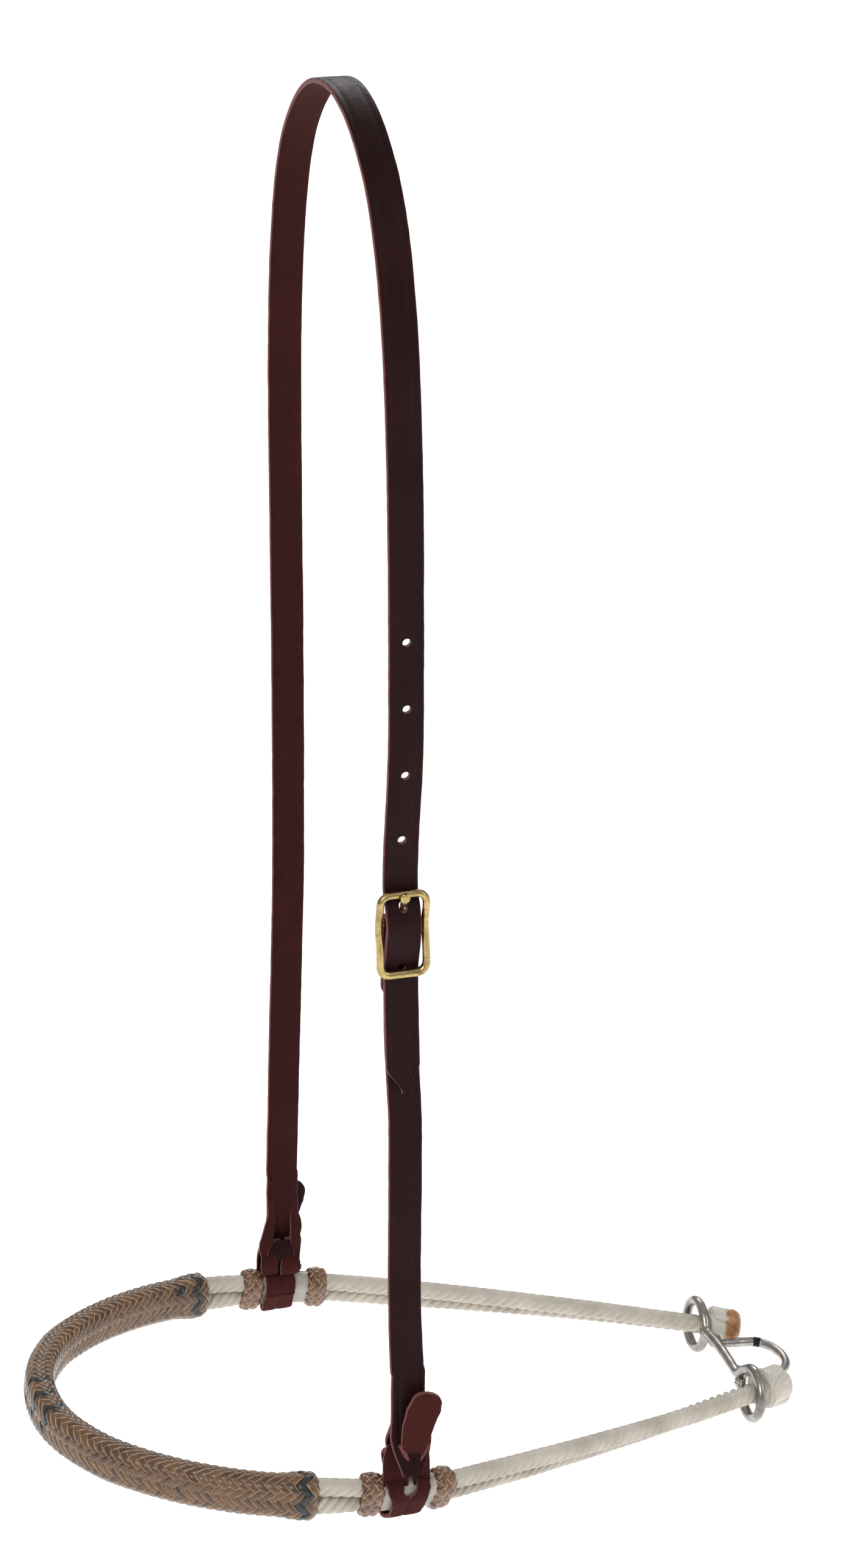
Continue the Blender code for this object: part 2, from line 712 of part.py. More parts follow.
def build_cheek_strap():
    path = thinned(smooth_curve(cheek_line(), 12), turn=14, reach=9 * MM)
    start_z = path[0][1]
    top = int(np.argmax(path[:, 1]))
    points, widths = [], []
    for i, (y, z) in enumerate(path):
        shift = LOOP_BACK * ramp(z, -300 * MM, -LOOP_DROP + 60 * MM)
        points.append((shift + CHEEK_SHIFT * ramp(z, -360 * MM, -320 * MM), y, z))
        tapered = ramp(z, start_z - 2 * MM, start_z + 8 * MM) if i < top else 1
        widths.append((STRAP_WIDTH - 0.3 * MM) * max(0.5, tapered))
    strap = ribbon("cheek_strap", points, widths, STRAP_THICK, "leather")
    slot = bpy.data.meshes.new("tongue_slot")
    work = bmesh.new()
    bmesh.ops.create_cube(work, size=1)
    size = Matrix.Diagonal((TONGUE_ROD + 1.6 * MM, 12 * MM, 9.8 * MM, 1))
    place = Matrix.Translation((BAR_CENTRE.x, BAR_CENTRE.y, BAR_CENTRE.z + 0.4 * MM))
    bmesh.ops.transform(work, verts=work.verts, matrix=place @ size)
    work.to_mesh(slot)
    work.free()
    boolean(strap, helper_object("tongue_slot", slot), "DIFFERENCE")
    add_leather_knot(strap, "near", -1)


def build_turnback_thread():
    """The thread that holds the turn-back: one run of stitches between the two layers."""
    y = BAR_CENTRE.y + 2.85 * MM
    points = []
    for k in range(5):
        z = BAR_CENTRE.z - 20 * MM - k * 2.6 * MM
        points.append((BAR_CENTRE.x + 0.8 * MM, y, z))
    wire("turnback_thread", points, 0.25 * MM, "thread", sides=1)


# --- buckle -----------------------------------------------------------------


def build_buckle():
    """A bent-rod frame with round corners, bowed so that its centre bar sits behind the strap."""
    half_w = (BUCKLE_WIDTH - BUCKLE_ROD) / 2
    top, bottom = BUCKLE_TOP_Z, BUCKLE_BOTTOM_Z
    middle_z = BAR_CENTRE.z
    r = BUCKLE_CORNER
    outline = []
    corners = [
        (half_w - r, top - r, 90, 0),
        (half_w - r, bottom + r, 0, -90),
        (-half_w + r, bottom + r, -90, -180),
        (-half_w + r, top - r, 180, 90),
    ]
    for cx, cz, start, end in corners:
        for angle in np.linspace(math.radians(start), math.radians(end), 5):
            outline.append((cx + r * math.cos(angle), cz + r * math.sin(angle)))
    side_points = []
    for i, (x, z) in enumerate(outline):
        side_points.append((x, z))
        x2, z2 = outline[(i + 1) % len(outline)]
        if abs(z2 - z) > 8 * MM:
            for t in (0.2, 0.35, 0.5, 0.65, 0.8):
                side_points.append((x + (x2 - x) * t, z + (z2 - z) * t))
    points = []
    for x, z in side_points:
        span = (top - middle_z) if z > middle_z else (middle_z - bottom)
        near_bar = max(0.0, 1 - abs(z - middle_z) / (span * 0.72))
        sink = 1.6 * MM * near_bar * near_bar * (3 - 2 * near_bar)
        points.append((BAR_CENTRE.x + x, BUCKLE_PLANE_Y + sink, z))
    frame = wire("buckle_frame", points, BUCKLE_ROD / 2, "brass", cyclic=True, sides=2)
    drop = CENTRE_BAR_DROP
    bar = [
        (BAR_CENTRE.x - half_w, BUCKLE_PLANE_Y + 1.6 * MM, middle_z),
        (BAR_CENTRE.x - half_w + 0.15 * MM, BUCKLE_PLANE_Y + drop, middle_z),
        (BAR_CENTRE.x + half_w - 0.15 * MM, BUCKLE_PLANE_Y + drop, middle_z),
        (BAR_CENTRE.x + half_w, BUCKLE_PLANE_Y + 1.6 * MM, middle_z),
    ]
    boolean(frame, wire("centre_bar", bar, CENTRE_BAR_ROD / 2, None, sides=2), "UNION")


def build_tongue():
    """A pin that wraps the centre bar and runs up through the strap to rest on the top bar."""
    bar = BAR_CENTRE
    ring = CENTRE_BAR_ROD / 2 + TONGUE_ROD / 2 + 0.12 * MM
    turns = np.radians(np.linspace(-150, 95, 9))
    line = [(-ring * math.cos(a), ring * math.sin(a)) for a in turns]
    line += [
        (-1.2 * MM, 4.2 * MM),
        (-2.3 * MM, 6.2 * MM),
        (-4.6 * MM, 8.5 * MM),
        (-6.9 * MM, 10.7 * MM),
        (-7.2 * MM, 13.3 * MM),
    ]
    path = resample(smooth_curve(line, 6), 26)
    points = [(bar.x, bar.y + y, bar.z + z) for y, z in path]
    wire("buckle_tongue", points, TONGUE_ROD / 2, "brass", sides=2)


# --- joints -----------------------------------------------------------------


def joint_empty(name, place, parent=None):
    """An empty on a joint's axis, with no turn of its own."""
    empty = bpy.data.objects.new(name, None)
    empty.empty_display_size = 10 * MM
    PARTS.objects.link(empty)
    empty.parent = parent
    empty.location = place - (parent.location if parent else Vector())
    return empty


def hang(names, empty, place):
    """Parents the pieces to a joint's empty, which stands at this place, without moving them."""
    for name in names:
        piece = PARTS.objects[name]
        piece.parent = empty
        piece.matrix_parent_inverse = Matrix.Translation(-place)


def place_joints():
    noseband = joint_empty("noseband_hinge", LOOP_CENTRE)
    names = ["rope_upper", "rope_lower", "braid_cover"]
    names += [obj.name for obj in PARTS.objects if obj.name.startswith(("inlay_", "ring_knot_"))]
    names += ["wear_sleeve_near", "wear_sleeve_far", "end_knot_near", "end_knot_far"]
    hang(names, noseband, LOOP_CENTRE)
    rings = in_plane(RING_REACH, 0)
    hang(["ring_bar_wire", "dee_loop"], joint_empty("hardware_hinge", rings, noseband), rings)
    hang(["buckle_frame"], joint_empty("buckle_rock", BAR_CENTRE), BAR_CENTRE)
    hang(["buckle_tongue"], joint_empty("tongue_pivot", BAR_CENTRE), BAR_CENTRE)


clear_scene()
PARTS = new_collection("bitless_hackamore")
CUTTERS = new_collection("cutters", helper=True)
LINE = noseband_line()
build_ropes()
cover_indices, cover_halves = build_cover()
build_inlays(cover_indices, cover_halves)
build_ring_knots()
build_sleeves()
build_end_knots()
build_hardware()
build_crown_strap()
build_cheek_strap()
build_turnback_thread()
build_buckle()
build_tongue()
place_joints()
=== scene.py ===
"""The looks of a double-rope western noseband on a single-strap leather headstall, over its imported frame."""

import math

import bmesh
import bpy
import numpy as np
from mathutils import Matrix, Vector


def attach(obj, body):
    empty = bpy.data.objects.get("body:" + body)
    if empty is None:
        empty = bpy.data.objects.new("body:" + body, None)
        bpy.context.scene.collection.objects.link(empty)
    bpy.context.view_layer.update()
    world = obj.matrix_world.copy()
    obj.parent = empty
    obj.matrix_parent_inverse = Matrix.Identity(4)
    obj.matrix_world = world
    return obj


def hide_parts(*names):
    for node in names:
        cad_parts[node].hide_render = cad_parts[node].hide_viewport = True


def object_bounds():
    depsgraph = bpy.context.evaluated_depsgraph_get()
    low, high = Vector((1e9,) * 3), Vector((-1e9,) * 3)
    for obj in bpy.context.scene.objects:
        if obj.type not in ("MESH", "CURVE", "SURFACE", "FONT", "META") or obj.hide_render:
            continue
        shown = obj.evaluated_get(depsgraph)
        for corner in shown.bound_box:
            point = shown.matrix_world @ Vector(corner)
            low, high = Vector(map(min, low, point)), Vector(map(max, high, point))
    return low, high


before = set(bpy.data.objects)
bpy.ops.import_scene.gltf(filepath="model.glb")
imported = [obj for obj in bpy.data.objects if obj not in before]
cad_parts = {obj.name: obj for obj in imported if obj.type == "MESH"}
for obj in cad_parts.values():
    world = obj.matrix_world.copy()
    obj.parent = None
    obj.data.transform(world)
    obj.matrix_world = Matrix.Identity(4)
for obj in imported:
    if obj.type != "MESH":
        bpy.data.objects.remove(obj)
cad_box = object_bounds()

MM = 0.001

# --- camera, lights and floor -----------------------------------------------

CAMERA_AT = (-0.3711, -1.2452, 0.2370)
# The camera's right, up and backward directions
CAMERA_AXES = ((0.9517, -0.3070, 0.0), (0.109, 0.3377, 0.9349), (-0.287, -0.8898, 0.3549))



def add_to_scene(name, data):
    obj = bpy.data.objects.new(name, data)
    bpy.context.scene.collection.objects.link(obj)
    return obj


camera_data = bpy.data.cameras.new("camera")
camera_data.lens = 86.99
camera_data.sensor_width = 36
camera = add_to_scene("camera", camera_data)
turn = Matrix(CAMERA_AXES).transposed().to_quaternion().to_matrix().to_4x4()
camera.matrix_world = Matrix.Translation(CAMERA_AT) @ turn
bpy.context.scene.camera = camera
bpy.context.scene.view_settings.view_transform = "Standard"


def area_light(name, place, target, size, power):
    data = bpy.data.lights.new(name, "AREA")
    data.shape = "RECTANGLE"
    data.size, data.size_y = size
    data.energy = power
    lamp = add_to_scene(name, data)
    lamp.location = place
    lamp.rotation_euler = (Vector(target) - Vector(place)).to_track_quat("-Z", "Y").to_euler()


# --- node helpers -----------------------------------------------------------


class Look:
    """A material under construction: a Principled shader and short calls that add nodes to it."""

    def __init__(self, name, **sockets):
        self.material = bpy.data.materials.new(name)
        self.material.use_nodes = True
        self.tree = self.material.node_tree
        self.shader = self.tree.nodes["Principled BSDF"]
        for socket, value in sockets.items():
            self.shader.inputs[socket.replace("_", " ")].default_value = value
        self.object_place = self.node("ShaderNodeTexCoord").outputs["Object"]
        self.uv = self.node("ShaderNodeTexCoord").outputs["UV"]

    def node(self, kind, **options):
        made = self.tree.nodes.new(kind)
        for option, value in options.items():
            setattr(made, option, value)
        return made

    def feed(self, socket, value):
        if isinstance(value, bpy.types.NodeSocket):
            self.tree.links.new(value, socket)
        elif value is not None:
            socket.default_value = value

    def stretched(self, vector, scale):
        made = self.node("ShaderNodeMapping")
        self.feed(made.inputs["Vector"], vector)
        made.inputs["Scale"].default_value = scale
        return made.outputs["Vector"]

    def noise(self, scale, detail=3, rough=0.5, vector=None, distortion=0.0):
        made = self.node("ShaderNodeTexNoise")
        self.feed(made.inputs["Vector"], vector or self.object_place)
        made.inputs["Scale"].default_value = scale
        made.inputs["Detail"].default_value = detail
        made.inputs["Roughness"].default_value = rough
        made.inputs["Distortion"].default_value = distortion
        return made.outputs["Fac"]

    def cells(self, scale):
        made = self.node("ShaderNodeTexVoronoi")
        self.feed(made.inputs["Vector"], self.object_place)
        made.inputs["Scale"].default_value = scale
        return made.outputs["Distance"]

    def math(self, operation, a, b=None):
        made = self.node("ShaderNodeMath", operation=operation)
        self.feed(made.inputs[0], a)
        self.feed(made.inputs[1], b)
        return made.outputs[0]

    def add(self, a, b):
        return self.math("ADD", a, b)

    def times(self, a, b):
        return self.math("MULTIPLY", a, b)

    def from_middle(self, which):
        """How far each point is from the middle of its UV square."""
        return self.math("ABSOLUTE", self.math("SUBTRACT", self.axis(self.uv, which), 0.5))

    def spread(self, value, low, high, to_low=0.0, to_high=1.0):
        made = self.node("ShaderNodeMapRange")
        self.feed(made.inputs["Value"], value)
        for socket, number in zip(("From Min", "From Max", "To Min", "To Max"), (low, high, to_low, to_high)):
            made.inputs[socket].default_value = number
        return made.outputs[0]

    def mix(self, share, a, b):
        """Colour b over colour a. The colour sockets have no names of their own, so they go by number."""
        made = self.node("ShaderNodeMix", data_type="RGBA")
        self.feed(made.inputs["Factor"], share)
        for socket, colour in ((6, a), (7, b)):
            self.feed(made.inputs[socket], (*colour, 1) if isinstance(colour, tuple) else colour)
        return made.outputs[2]

    def axis(self, vector, which):
        made = self.node("ShaderNodeSeparateXYZ")
        self.feed(made.inputs[0], vector)
        return made.outputs[which]

    def attribute(self, name):
        return self.node("ShaderNodeAttribute", attribute_name=name).outputs["Fac"]

    def finish(self, colour=None, rough=None, height=None, strength=0.5, depth=0.0002):
        self.feed(self.shader.inputs["Base Color"], colour)
        self.feed(self.shader.inputs["Roughness"], rough)
        if height is not None:
            bump = self.node("ShaderNodeBump")
            bump.inputs["Strength"].default_value = strength
            bump.inputs["Distance"].default_value = depth
            self.feed(bump.inputs["Height"], height)
            self.feed(self.shader.inputs["Normal"], bump.outputs[0])
        return self.material


# --- materials --------------------------------------------------------------


def leather_grain():
    """The smooth outer side: pores, faint creases and worn edges."""
    look = Look("leather_grain", Specular_IOR_Level=0.09)
    pores = look.cells(2600)
    fine = look.noise(1500, 4, 0.6)
    creases = look.noise(260, 4, 0.65, look.stretched(look.object_place, (1.0, 1.0, 2.4)), 0.6)
    patches = look.noise(38, 3)
    colour = look.mix(look.spread(patches, 0.3, 0.7), (0.0145, 0.0036, 0.0042), (0.0235, 0.0058, 0.0062))
    colour = look.mix(look.spread(fine, 0.35, 0.75, 0, 0.5), colour, (0.009, 0.0026, 0.0030))
    across = look.from_middle(0)
    worn = look.spread(look.add(across, look.times(fine, 0.05)), 0.485, 0.52)
    colour = look.mix(look.times(worn, 0.75), colour, (0.075, 0.018, 0.015))
    rough = look.spread(look.add(fine, creases), 0.7, 1.3, 0.34, 0.58)
    height = look.add(look.times(pores, 0.5), look.add(fine, look.times(creases, 1.6)))
    return look.finish(colour, rough, height, 0.35, 0.00016)


def leather_flesh(name, dark, light, worn):
    """The fuzzy inner side: short fibres, with redder and darker patches."""
    look = Look(name, Roughness=0.95, Specular_IOR_Level=0.15, Sheen_Weight=0.12, Sheen_Roughness=0.6)
    look.shader.inputs["Sheen Tint"].default_value = (0.5, 0.16, 0.13, 1)
    fibres = look.noise(1900, 4, 0.75, None, 1.2)
    felt = look.noise(420, 4, 0.7)
    patches = look.noise(24, 3, 0.55)
    colour = look.mix(look.spread(felt, 0.3, 0.72), dark, light)
    colour = look.mix(look.spread(patches, 0.52, 0.72, 0, 0.45), colour, worn)
    colour = look.mix(look.spread(fibres, 0.42, 0.8, 0, 0.65), colour, tuple(c * 1.9 for c in light))
    height = look.add(fibres, look.times(felt, 0.8))
    return look.finish(colour, None, height, 0.8, 0.0003)


def leather_edge():
    """The cut edge: raw, pale fibres with dark streaks."""
    look = Look("leather_raw_edge", Roughness=0.9, Specular_IOR_Level=0.2, Sheen_Weight=0.2)
    fibres = look.noise(2300, 4, 0.7)
    streaks = look.noise(700, 3, 0.6, look.stretched(look.object_place, (1.0, 1.0, 0.3)))
    colour = look.mix(look.spread(fibres, 0.3, 0.7), (0.090, 0.020, 0.018), (0.27, 0.072, 0.054))
    colour = look.mix(look.spread(streaks, 0.5, 0.75, 0, 0.7), colour, (0.045, 0.012, 0.012))
    return look.finish(colour, None, look.add(fibres, streaks), 0.9, 0.0004)


def rawhide(name, dark, light, edge, edge_from, gloss):
    """A flat strand: varnished and mottled in its middle, with bare pale edges and painted shade at its tucked
    ends.
    """
    look = Look(name, Coat_Weight=gloss, Coat_Roughness=0.18, Specular_IOR_Level=0.45)
    tint = look.attribute("tint")
    mottled = look.noise(700, 4, 0.65)
    lengthwise = look.noise(9, 4, 0.6, look.stretched(look.uv, (1.0, 0.22, 1.0)), 0.3)
    shade = look.spread(look.add(look.times(mottled, 0.6), look.times(tint, 0.7)), 0.35, 1.0)
    colour = look.mix(shade, dark, light)
    colour = look.mix(look.spread(lengthwise, 0.5, 0.75, 0, 0.35), colour, tuple(c * 0.45 for c in dark))
    across = look.from_middle(0)
    along = look.from_middle(1)
    ragged = look.times(look.math("SUBTRACT", mottled, 0.5), 0.14)
    bare = look.spread(look.add(across, ragged), edge_from, edge_from + 0.06)
    # Painted shade: each strand darkens towards its ends, where it dives under the crossing strand
    tuck_shade = look.spread(along, 0.40, 0.49)
    colour = look.mix(bare, colour, edge)
    colour = look.mix(look.times(tuck_shade, 0.8), colour, tuple(c * 0.35 for c in dark))
    rough = look.spread(look.add(mottled, bare), 0.3, 1.5, 0.28, 0.62)
    height = look.add(lengthwise, look.times(mottled, 0.5))
    return look.finish(colour, rough, height, 0.35, 0.0002)


def rope_fibre(name, pale, shaded, stain):
    """Waxed, close-laid rope: fine yarns that follow each strand, milky, with a few dark specks."""
    look = Look(
        name, Subsurface_Weight=0.22, Subsurface_Scale=0.002, Specular_IOR_Level=0.45, Coat_Weight=0.15
    )
    look.shader.inputs["Subsurface Radius"].default_value = (1.0, 0.8, 0.55)
    yarns = look.noise(30, 3, 0.55, look.stretched(look.uv, (1.0, 0.05, 1.0)), 0.2)
    grains = look.noise(900, 4, 0.7)
    clouds = look.noise(70, 3, 0.5)
    colour = look.mix(look.spread(clouds, 0.35, 0.7), pale, shaded)
    colour = look.mix(look.spread(yarns, 0.5, 0.8, 0, 0.35), colour, tuple(c * 0.78 for c in shaded))
    colour = look.mix(look.spread(look.noise(34, 4, 0.6), 0.56, 0.72, 0, 0.3), colour, stain)
    specks = look.spread(look.cells(330), 0.035, 0.075, 0.75, 0)
    colour = look.mix(specks, colour, (0.10, 0.075, 0.055))
    rough = look.spread(grains, 0.35, 0.7, 0.3, 0.62)
    height = look.add(look.times(yarns, 1.4), grains)
    return look.finish(colour, rough, height, 0.5, 0.00025)


def metal(name, bright, dull, rough_range, streak):
    """Worn plate: dull clouds and dark streaks."""
    look = Look(name, Metallic=1.0)
    clouds = look.noise(110, 4, 0.6, None, 0.8)
    streaks = look.noise(95, 4, 0.7, look.stretched(look.object_place, (1.0, 0.35, 3.2)), 0.5)
    fine = look.noise(2400, 3, 0.6)
    colour = look.mix(look.spread(clouds, 0.35, 0.7), bright, dull)
    colour = look.mix(look.spread(streaks, 0.52, 0.7, 0, 0.75), colour, streak)
    rough = look.spread(look.add(clouds, look.times(fine, 0.4)), 0.4, 1.0, *rough_range)
    height = look.add(look.times(clouds, 2.0), look.times(fine, 0.3))
    return look.finish(colour, rough, height, 0.18, 0.0002)


def clear_sleeve():
    """Cloudy plastic with pale scuffs."""
    look = Look(
        "cloudy_sleeve",
        Specular_IOR_Level=0.6,
        Subsurface_Weight=0.3,
        Subsurface_Scale=0.002,
        Coat_Weight=0.5,
        Coat_Roughness=0.2,
    )
    clouds = look.noise(150, 4, 0.6)
    scuffs = look.noise(800, 4, 0.65, look.stretched(look.object_place, (1, 1, 2.5)))
    colour = look.mix(look.spread(clouds, 0.3, 0.7), (0.42, 0.39, 0.34), (0.29, 0.26, 0.23))
    colour = look.mix(look.spread(scuffs, 0.6, 0.75, 0, 0.4), colour, (0.55, 0.53, 0.5))
    rough = look.spread(scuffs, 0.3, 0.7, 0.25, 0.5)
    return look.finish(colour, rough, look.add(clouds, scuffs), 0.4, 0.0004)


def melted_end(name, pale, shaded, burnt_from):
    """Laid strands, browned and fused at the knot's outer end."""
    look = Look(name, Subsurface_Weight=0.2, Subsurface_Scale=0.002, Specular_IOR_Level=0.5, Coat_Weight=0.25)
    along = look.axis(look.uv, 1)
    yarns = look.noise(26, 3, 0.55, look.stretched(look.uv, (1.0, 0.08, 1.0)), 0.2)
    blots = look.noise(260, 4, 0.65)
    colour = look.mix(look.spread(yarns, 0.4, 0.75), pale, shaded)
    ragged = look.times(look.math("SUBTRACT", blots, 0.5), 0.35)
    burnt = look.spread(look.add(along, ragged), burnt_from, burnt_from + 0.1)
    toasted = look.mix(look.spread(blots, 0.4, 0.66), (0.40, 0.20, 0.075), (0.25, 0.085, 0.018))
    colour = look.mix(burnt, colour, toasted)
    return look.finish(colour, look.spread(blots, 0.3, 0.7, 0.3, 0.6), look.add(yarns, blots), 0.6, 0.0003)


GRAIN = leather_grain()
FLESH = leather_flesh(
    "leather_flesh", (0.017, 0.0034, 0.0033), (0.030, 0.0060, 0.0056), (0.050, 0.0085, 0.0080)
)
FLESH_RED = leather_flesh(
    "leather_flesh_red", (0.022, 0.0042, 0.0040), (0.042, 0.0082, 0.0070), (0.068, 0.0125, 0.0100)
)
EDGE = leather_edge()
# Outer face, inner face and edges
STRAP_LOOKS = (GRAIN, FLESH, EDGE)
TAN = rawhide(
    "rawhide_tan", (0.062, 0.026, 0.009), (0.152, 0.075, 0.031), (0.50, 0.32, 0.18), 0.39, 0.5
)
BLACK = rawhide(
    "rawhide_black", (0.006, 0.007, 0.008), (0.013, 0.014, 0.016), (0.035, 0.033, 0.030), 0.44, 0.4
)
RING_TAN = rawhide(
    "rawhide_ring_knot", (0.080, 0.031, 0.010), (0.185, 0.084, 0.030), (0.55, 0.34, 0.22), 0.395, 0.6
)
# Near-black: painted shade for the gaps between the strands of the braid and the ring knots
GAP_SHADE = rawhide("braid_gap_shade", (0.014, 0.008, 0.005), (0.028, 0.015, 0.009), (0.028, 0.015, 0.009), 0.6, 0.0)
ROPE = rope_fibre("waxed_rope", (0.64, 0.585, 0.51), (0.46, 0.42, 0.345), (0.52, 0.38, 0.33))
SLEEVE = clear_sleeve()
KNOT_ROPE = {
    "near": melted_end("end_knot_rope_near", (0.66, 0.62, 0.55), (0.46, 0.41, 0.33), 0.88),
    "far": melted_end("end_knot_rope_far", (0.66, 0.62, 0.55), (0.46, 0.41, 0.33), 0.50),
}
NICKEL = metal("worn_nickel", (0.46, 0.43, 0.40), (0.22, 0.20, 0.185), (0.16, 0.40), (0.16, 0.14, 0.13))
BRASS = metal("worn_brass", (0.60, 0.46, 0.20), (0.34, 0.245, 0.10), (0.14, 0.38), (0.10, 0.07, 0.035))
THREAD = rope_fibre("waxed_thread", (0.13, 0.030, 0.026), (0.07, 0.016, 0.015), (0.05, 0.012, 0.011))


# --- mesh helpers -----------------------------------------------------------


def piece(name, verts, faces, looks, body, uvs=None, face_looks=None, tints=None):
    """A shaded mesh piece: uvs and tints are given per vertex."""
    mesh = bpy.data.meshes.new(name)
    mesh.from_pydata(np.asarray(verts).tolist(), [], [tuple(int(i) for i in f) for f in faces])
    for look in looks if isinstance(looks, (list, tuple)) else (looks,):
        mesh.materials.append(look)
    if uvs is not None:
        loops = np.empty(len(mesh.loops), np.int32)
        mesh.loops.foreach_get("vertex_index", loops)
        layer = mesh.uv_layers.new(name="UVMap")
        layer.data.foreach_set("uv", np.asarray(uvs, np.float32)[loops].ravel())
    if face_looks is not None:
        mesh.polygons.foreach_set("material_index", np.asarray(face_looks, np.int32))
    if tints is not None:
        layer = mesh.attributes.new("tint", "FLOAT", "POINT")
        layer.data.foreach_set("value", np.asarray(tints, np.float32))
    work = bmesh.new()
    work.from_mesh(mesh)
    bmesh.ops.recalc_face_normals(work, faces=work.faces)
    work.to_mesh(mesh)
    work.free()
    mesh.shade_smooth()
    obj = add_to_scene(name, mesh)
    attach(obj, body)
    return obj


def grid_faces(rows, columns, closed=False):
    """Quads of a grid of points, row by row; closed joins the last column to the first."""
    across = columns if closed else columns - 1
    i, j = np.meshgrid(np.arange(rows - 1), np.arange(across), indexing="ij")
    k = (j + 1) % columns
    quads = np.stack([i * columns + j, i * columns + k, (i + 1) * columns + k, (i + 1) * columns + j], -1)
    return quads.reshape(-1, 4)


def capped_tube(rows, columns):
    """The faces of a tube of rings, with a flat cap at each end."""
    first = tuple(range(columns))
    last = tuple((rows - 1) * columns + i for i in range(columns))
    return [*grid_faces(rows, columns, True).tolist(), first, last]


def unit(vectors):
    return vectors / np.linalg.norm(vectors, axis=-1, keepdims=True)


def wavy(length, period, size, seed):
    """A smooth random line of values, the same on every run."""
    rng = np.random.default_rng(seed)
    knots = rng.uniform(-1, 1, max(4, int(length / period) + 4))
    place = np.arange(length) / period
    low = place.astype(int)
    t = place - low
    t = t * t * (3 - 2 * t)
    return size * (knots[low] * (1 - t) + knots[low + 1] * t)


def smooth_curve(points, per_span=12):
    """A centripetal Catmull-Rom curve through given rows: it doesn't overshoot."""
    p = np.array([points[0], *points, points[-1]], float)
    p[0] = 2 * p[1] - p[2]
    p[-1] = 2 * p[-2] - p[-3]
    out = []
    for i in range(1, len(p) - 2):
        near = p[i - 1 : i + 3]
        knots = np.concatenate([[0], np.cumsum(np.linalg.norm(np.diff(near, axis=0), axis=1) ** 0.5)])
        for t in np.linspace(knots[1], knots[2], per_span, endpoint=False):
            level = list(near)
            for span in (1, 2, 3):
                lows = range(4 - span) if span < 3 else [1]
                highs = [k + span for k in lows] if span < 3 else [2]
                level = [
                    level[k] + (level[k + 1] - level[k]) * (t - knots[a]) / (knots[b] - knots[a])
                    for k, (a, b) in enumerate(zip(lows, highs))
                ]
            out.append(level[0])
    out.append(p[-2])
    return np.array(out)


def resample(points, count):
    steps = np.linalg.norm(np.diff(points[:, :3], axis=0), axis=1)
    along = np.concatenate([[0], np.cumsum(steps)])
    wanted = np.linspace(0, along[-1], count)
    return np.stack([np.interp(wanted, along, points[:, k]) for k in range(points.shape[1])], axis=1)


def spaced(points, step):
    length = np.linalg.norm(np.diff(points[:, :3], axis=0), axis=1).sum()
    return resample(points, max(4, int(length / step)))


def ramp(x, low, high):
    t = np.clip((x - low) / (high - low), 0, 1)
    return t * t * (3 - 2 * t)


def rod(name, points, radii, look, body, sides=24, closed=False, ripple=0.0):
    """A round bar through the points. Its ends are domed, and ripple varies its radius a little."""
    p = np.array(points, float)
    n = len(p)
    radii = np.broadcast_to(np.asarray(radii, float), (n,)).copy()
    if closed:
        tangents = unit(np.roll(p, -1, 0) - np.roll(p, 1, 0))
    else:
        tangents = unit(np.gradient(p, axis=0))
    normal = np.cross(tangents[0], (0.13, 0.31, 0.94))
    frames = []
    for tangent in tangents:
        normal = unit(normal - tangent * np.dot(normal, tangent))
        frames.append((normal, np.cross(tangent, normal)))
    a, b = (np.array([f[k] for f in frames]) for k in (0, 1))
    if closed:
        slip = math.atan2(np.dot(a[0], b[-1]), np.dot(a[0], a[-1]))
        turn_by = (np.arange(n) / n * slip)[:, None]
        a, b = a * np.cos(turn_by) + b * np.sin(turn_by), b * np.cos(turn_by) - a * np.sin(turn_by)
    angle = np.arange(sides) / sides * 2 * math.pi
    if ripple:
        radii *= 1 + wavy(n, 6, ripple, len(name) + n)
    ring = a[:, None] * np.cos(angle)[None, :, None] + b[:, None] * np.sin(angle)[None, :, None]
    verts = (p[:, None] + ring * radii[:, None, None]).reshape(-1, 3)
    along = np.repeat(np.linspace(0, 1, n), sides)
    around = np.tile(np.arange(sides) / sides, n)
    faces = grid_faces(n, sides, True).tolist()
    if closed:
        last = (n - 1) * sides
        faces += [(last + i, last + (i + 1) % sides, (i + 1) % sides, i) for i in range(sides)]
        return piece(name, verts, faces, look, body, np.stack([around, along], 1))
    extra = []
    for end, way in ((0, -1), (n - 1, 1)):
        previous = end * sides
        for share in (0.35, 0.65, 0.88):
            shrink = math.sqrt(1 - share * share)
            place = p[end] + tangents[end] * way * radii[end] * share * 0.8
            extra.append(place + ring[end] * radii[end] * shrink)
            start = n * sides + (len(extra) - 1) * sides
            for i in range(sides):
                j = (i + 1) % sides
                faces.append((previous + i, previous + j, start + j, start + i))
            previous = start
        faces.append(tuple(previous + i for i in range(sides)))
    verts = np.concatenate([verts, *extra])
    uvs = np.stack([around, along], 1)
    uvs = np.concatenate([uvs] + [uvs[:sides]] * 3 + [uvs[-sides:]] * 3)
    return piece(name, verts, faces, look, body, uvs)


# --- noseband frame ---------------------------------------------------------

# In its own plane, u runs from the nose to the rings, v across and lift upwards
DROOP = math.radians(5.74)
LOOP_CENTRE = np.array([-0.003, 0, -0.506])
LOOP_SPREAD = 83.2 * MM
RING_REACH = 161.3 * MM
RING_SPREAD = 29.6 * MM
COVER_END = -34.5 * MM
# The middle line of the ropes, (u, v) in mm, from the nose to the rope ends
HALF_OUTLINE = [
    (-118.7, 0),
    (-116, 20),
    (-106.5, 39.5),
    (-97.6, 50),
    (-82.7, 62.4),
    (-67, 71.4),
    (-52, 77.2),
    (-33, 81.4),
    (-14.4, 83.0),
    (0, 83.2),
    (13, 81.8),
    (30, 77.2),
    (56, 69.2),
    (90, 57.8),
    (126, 44.4),
    (161.3, 29.6),
    (179.3, 23.0),
]


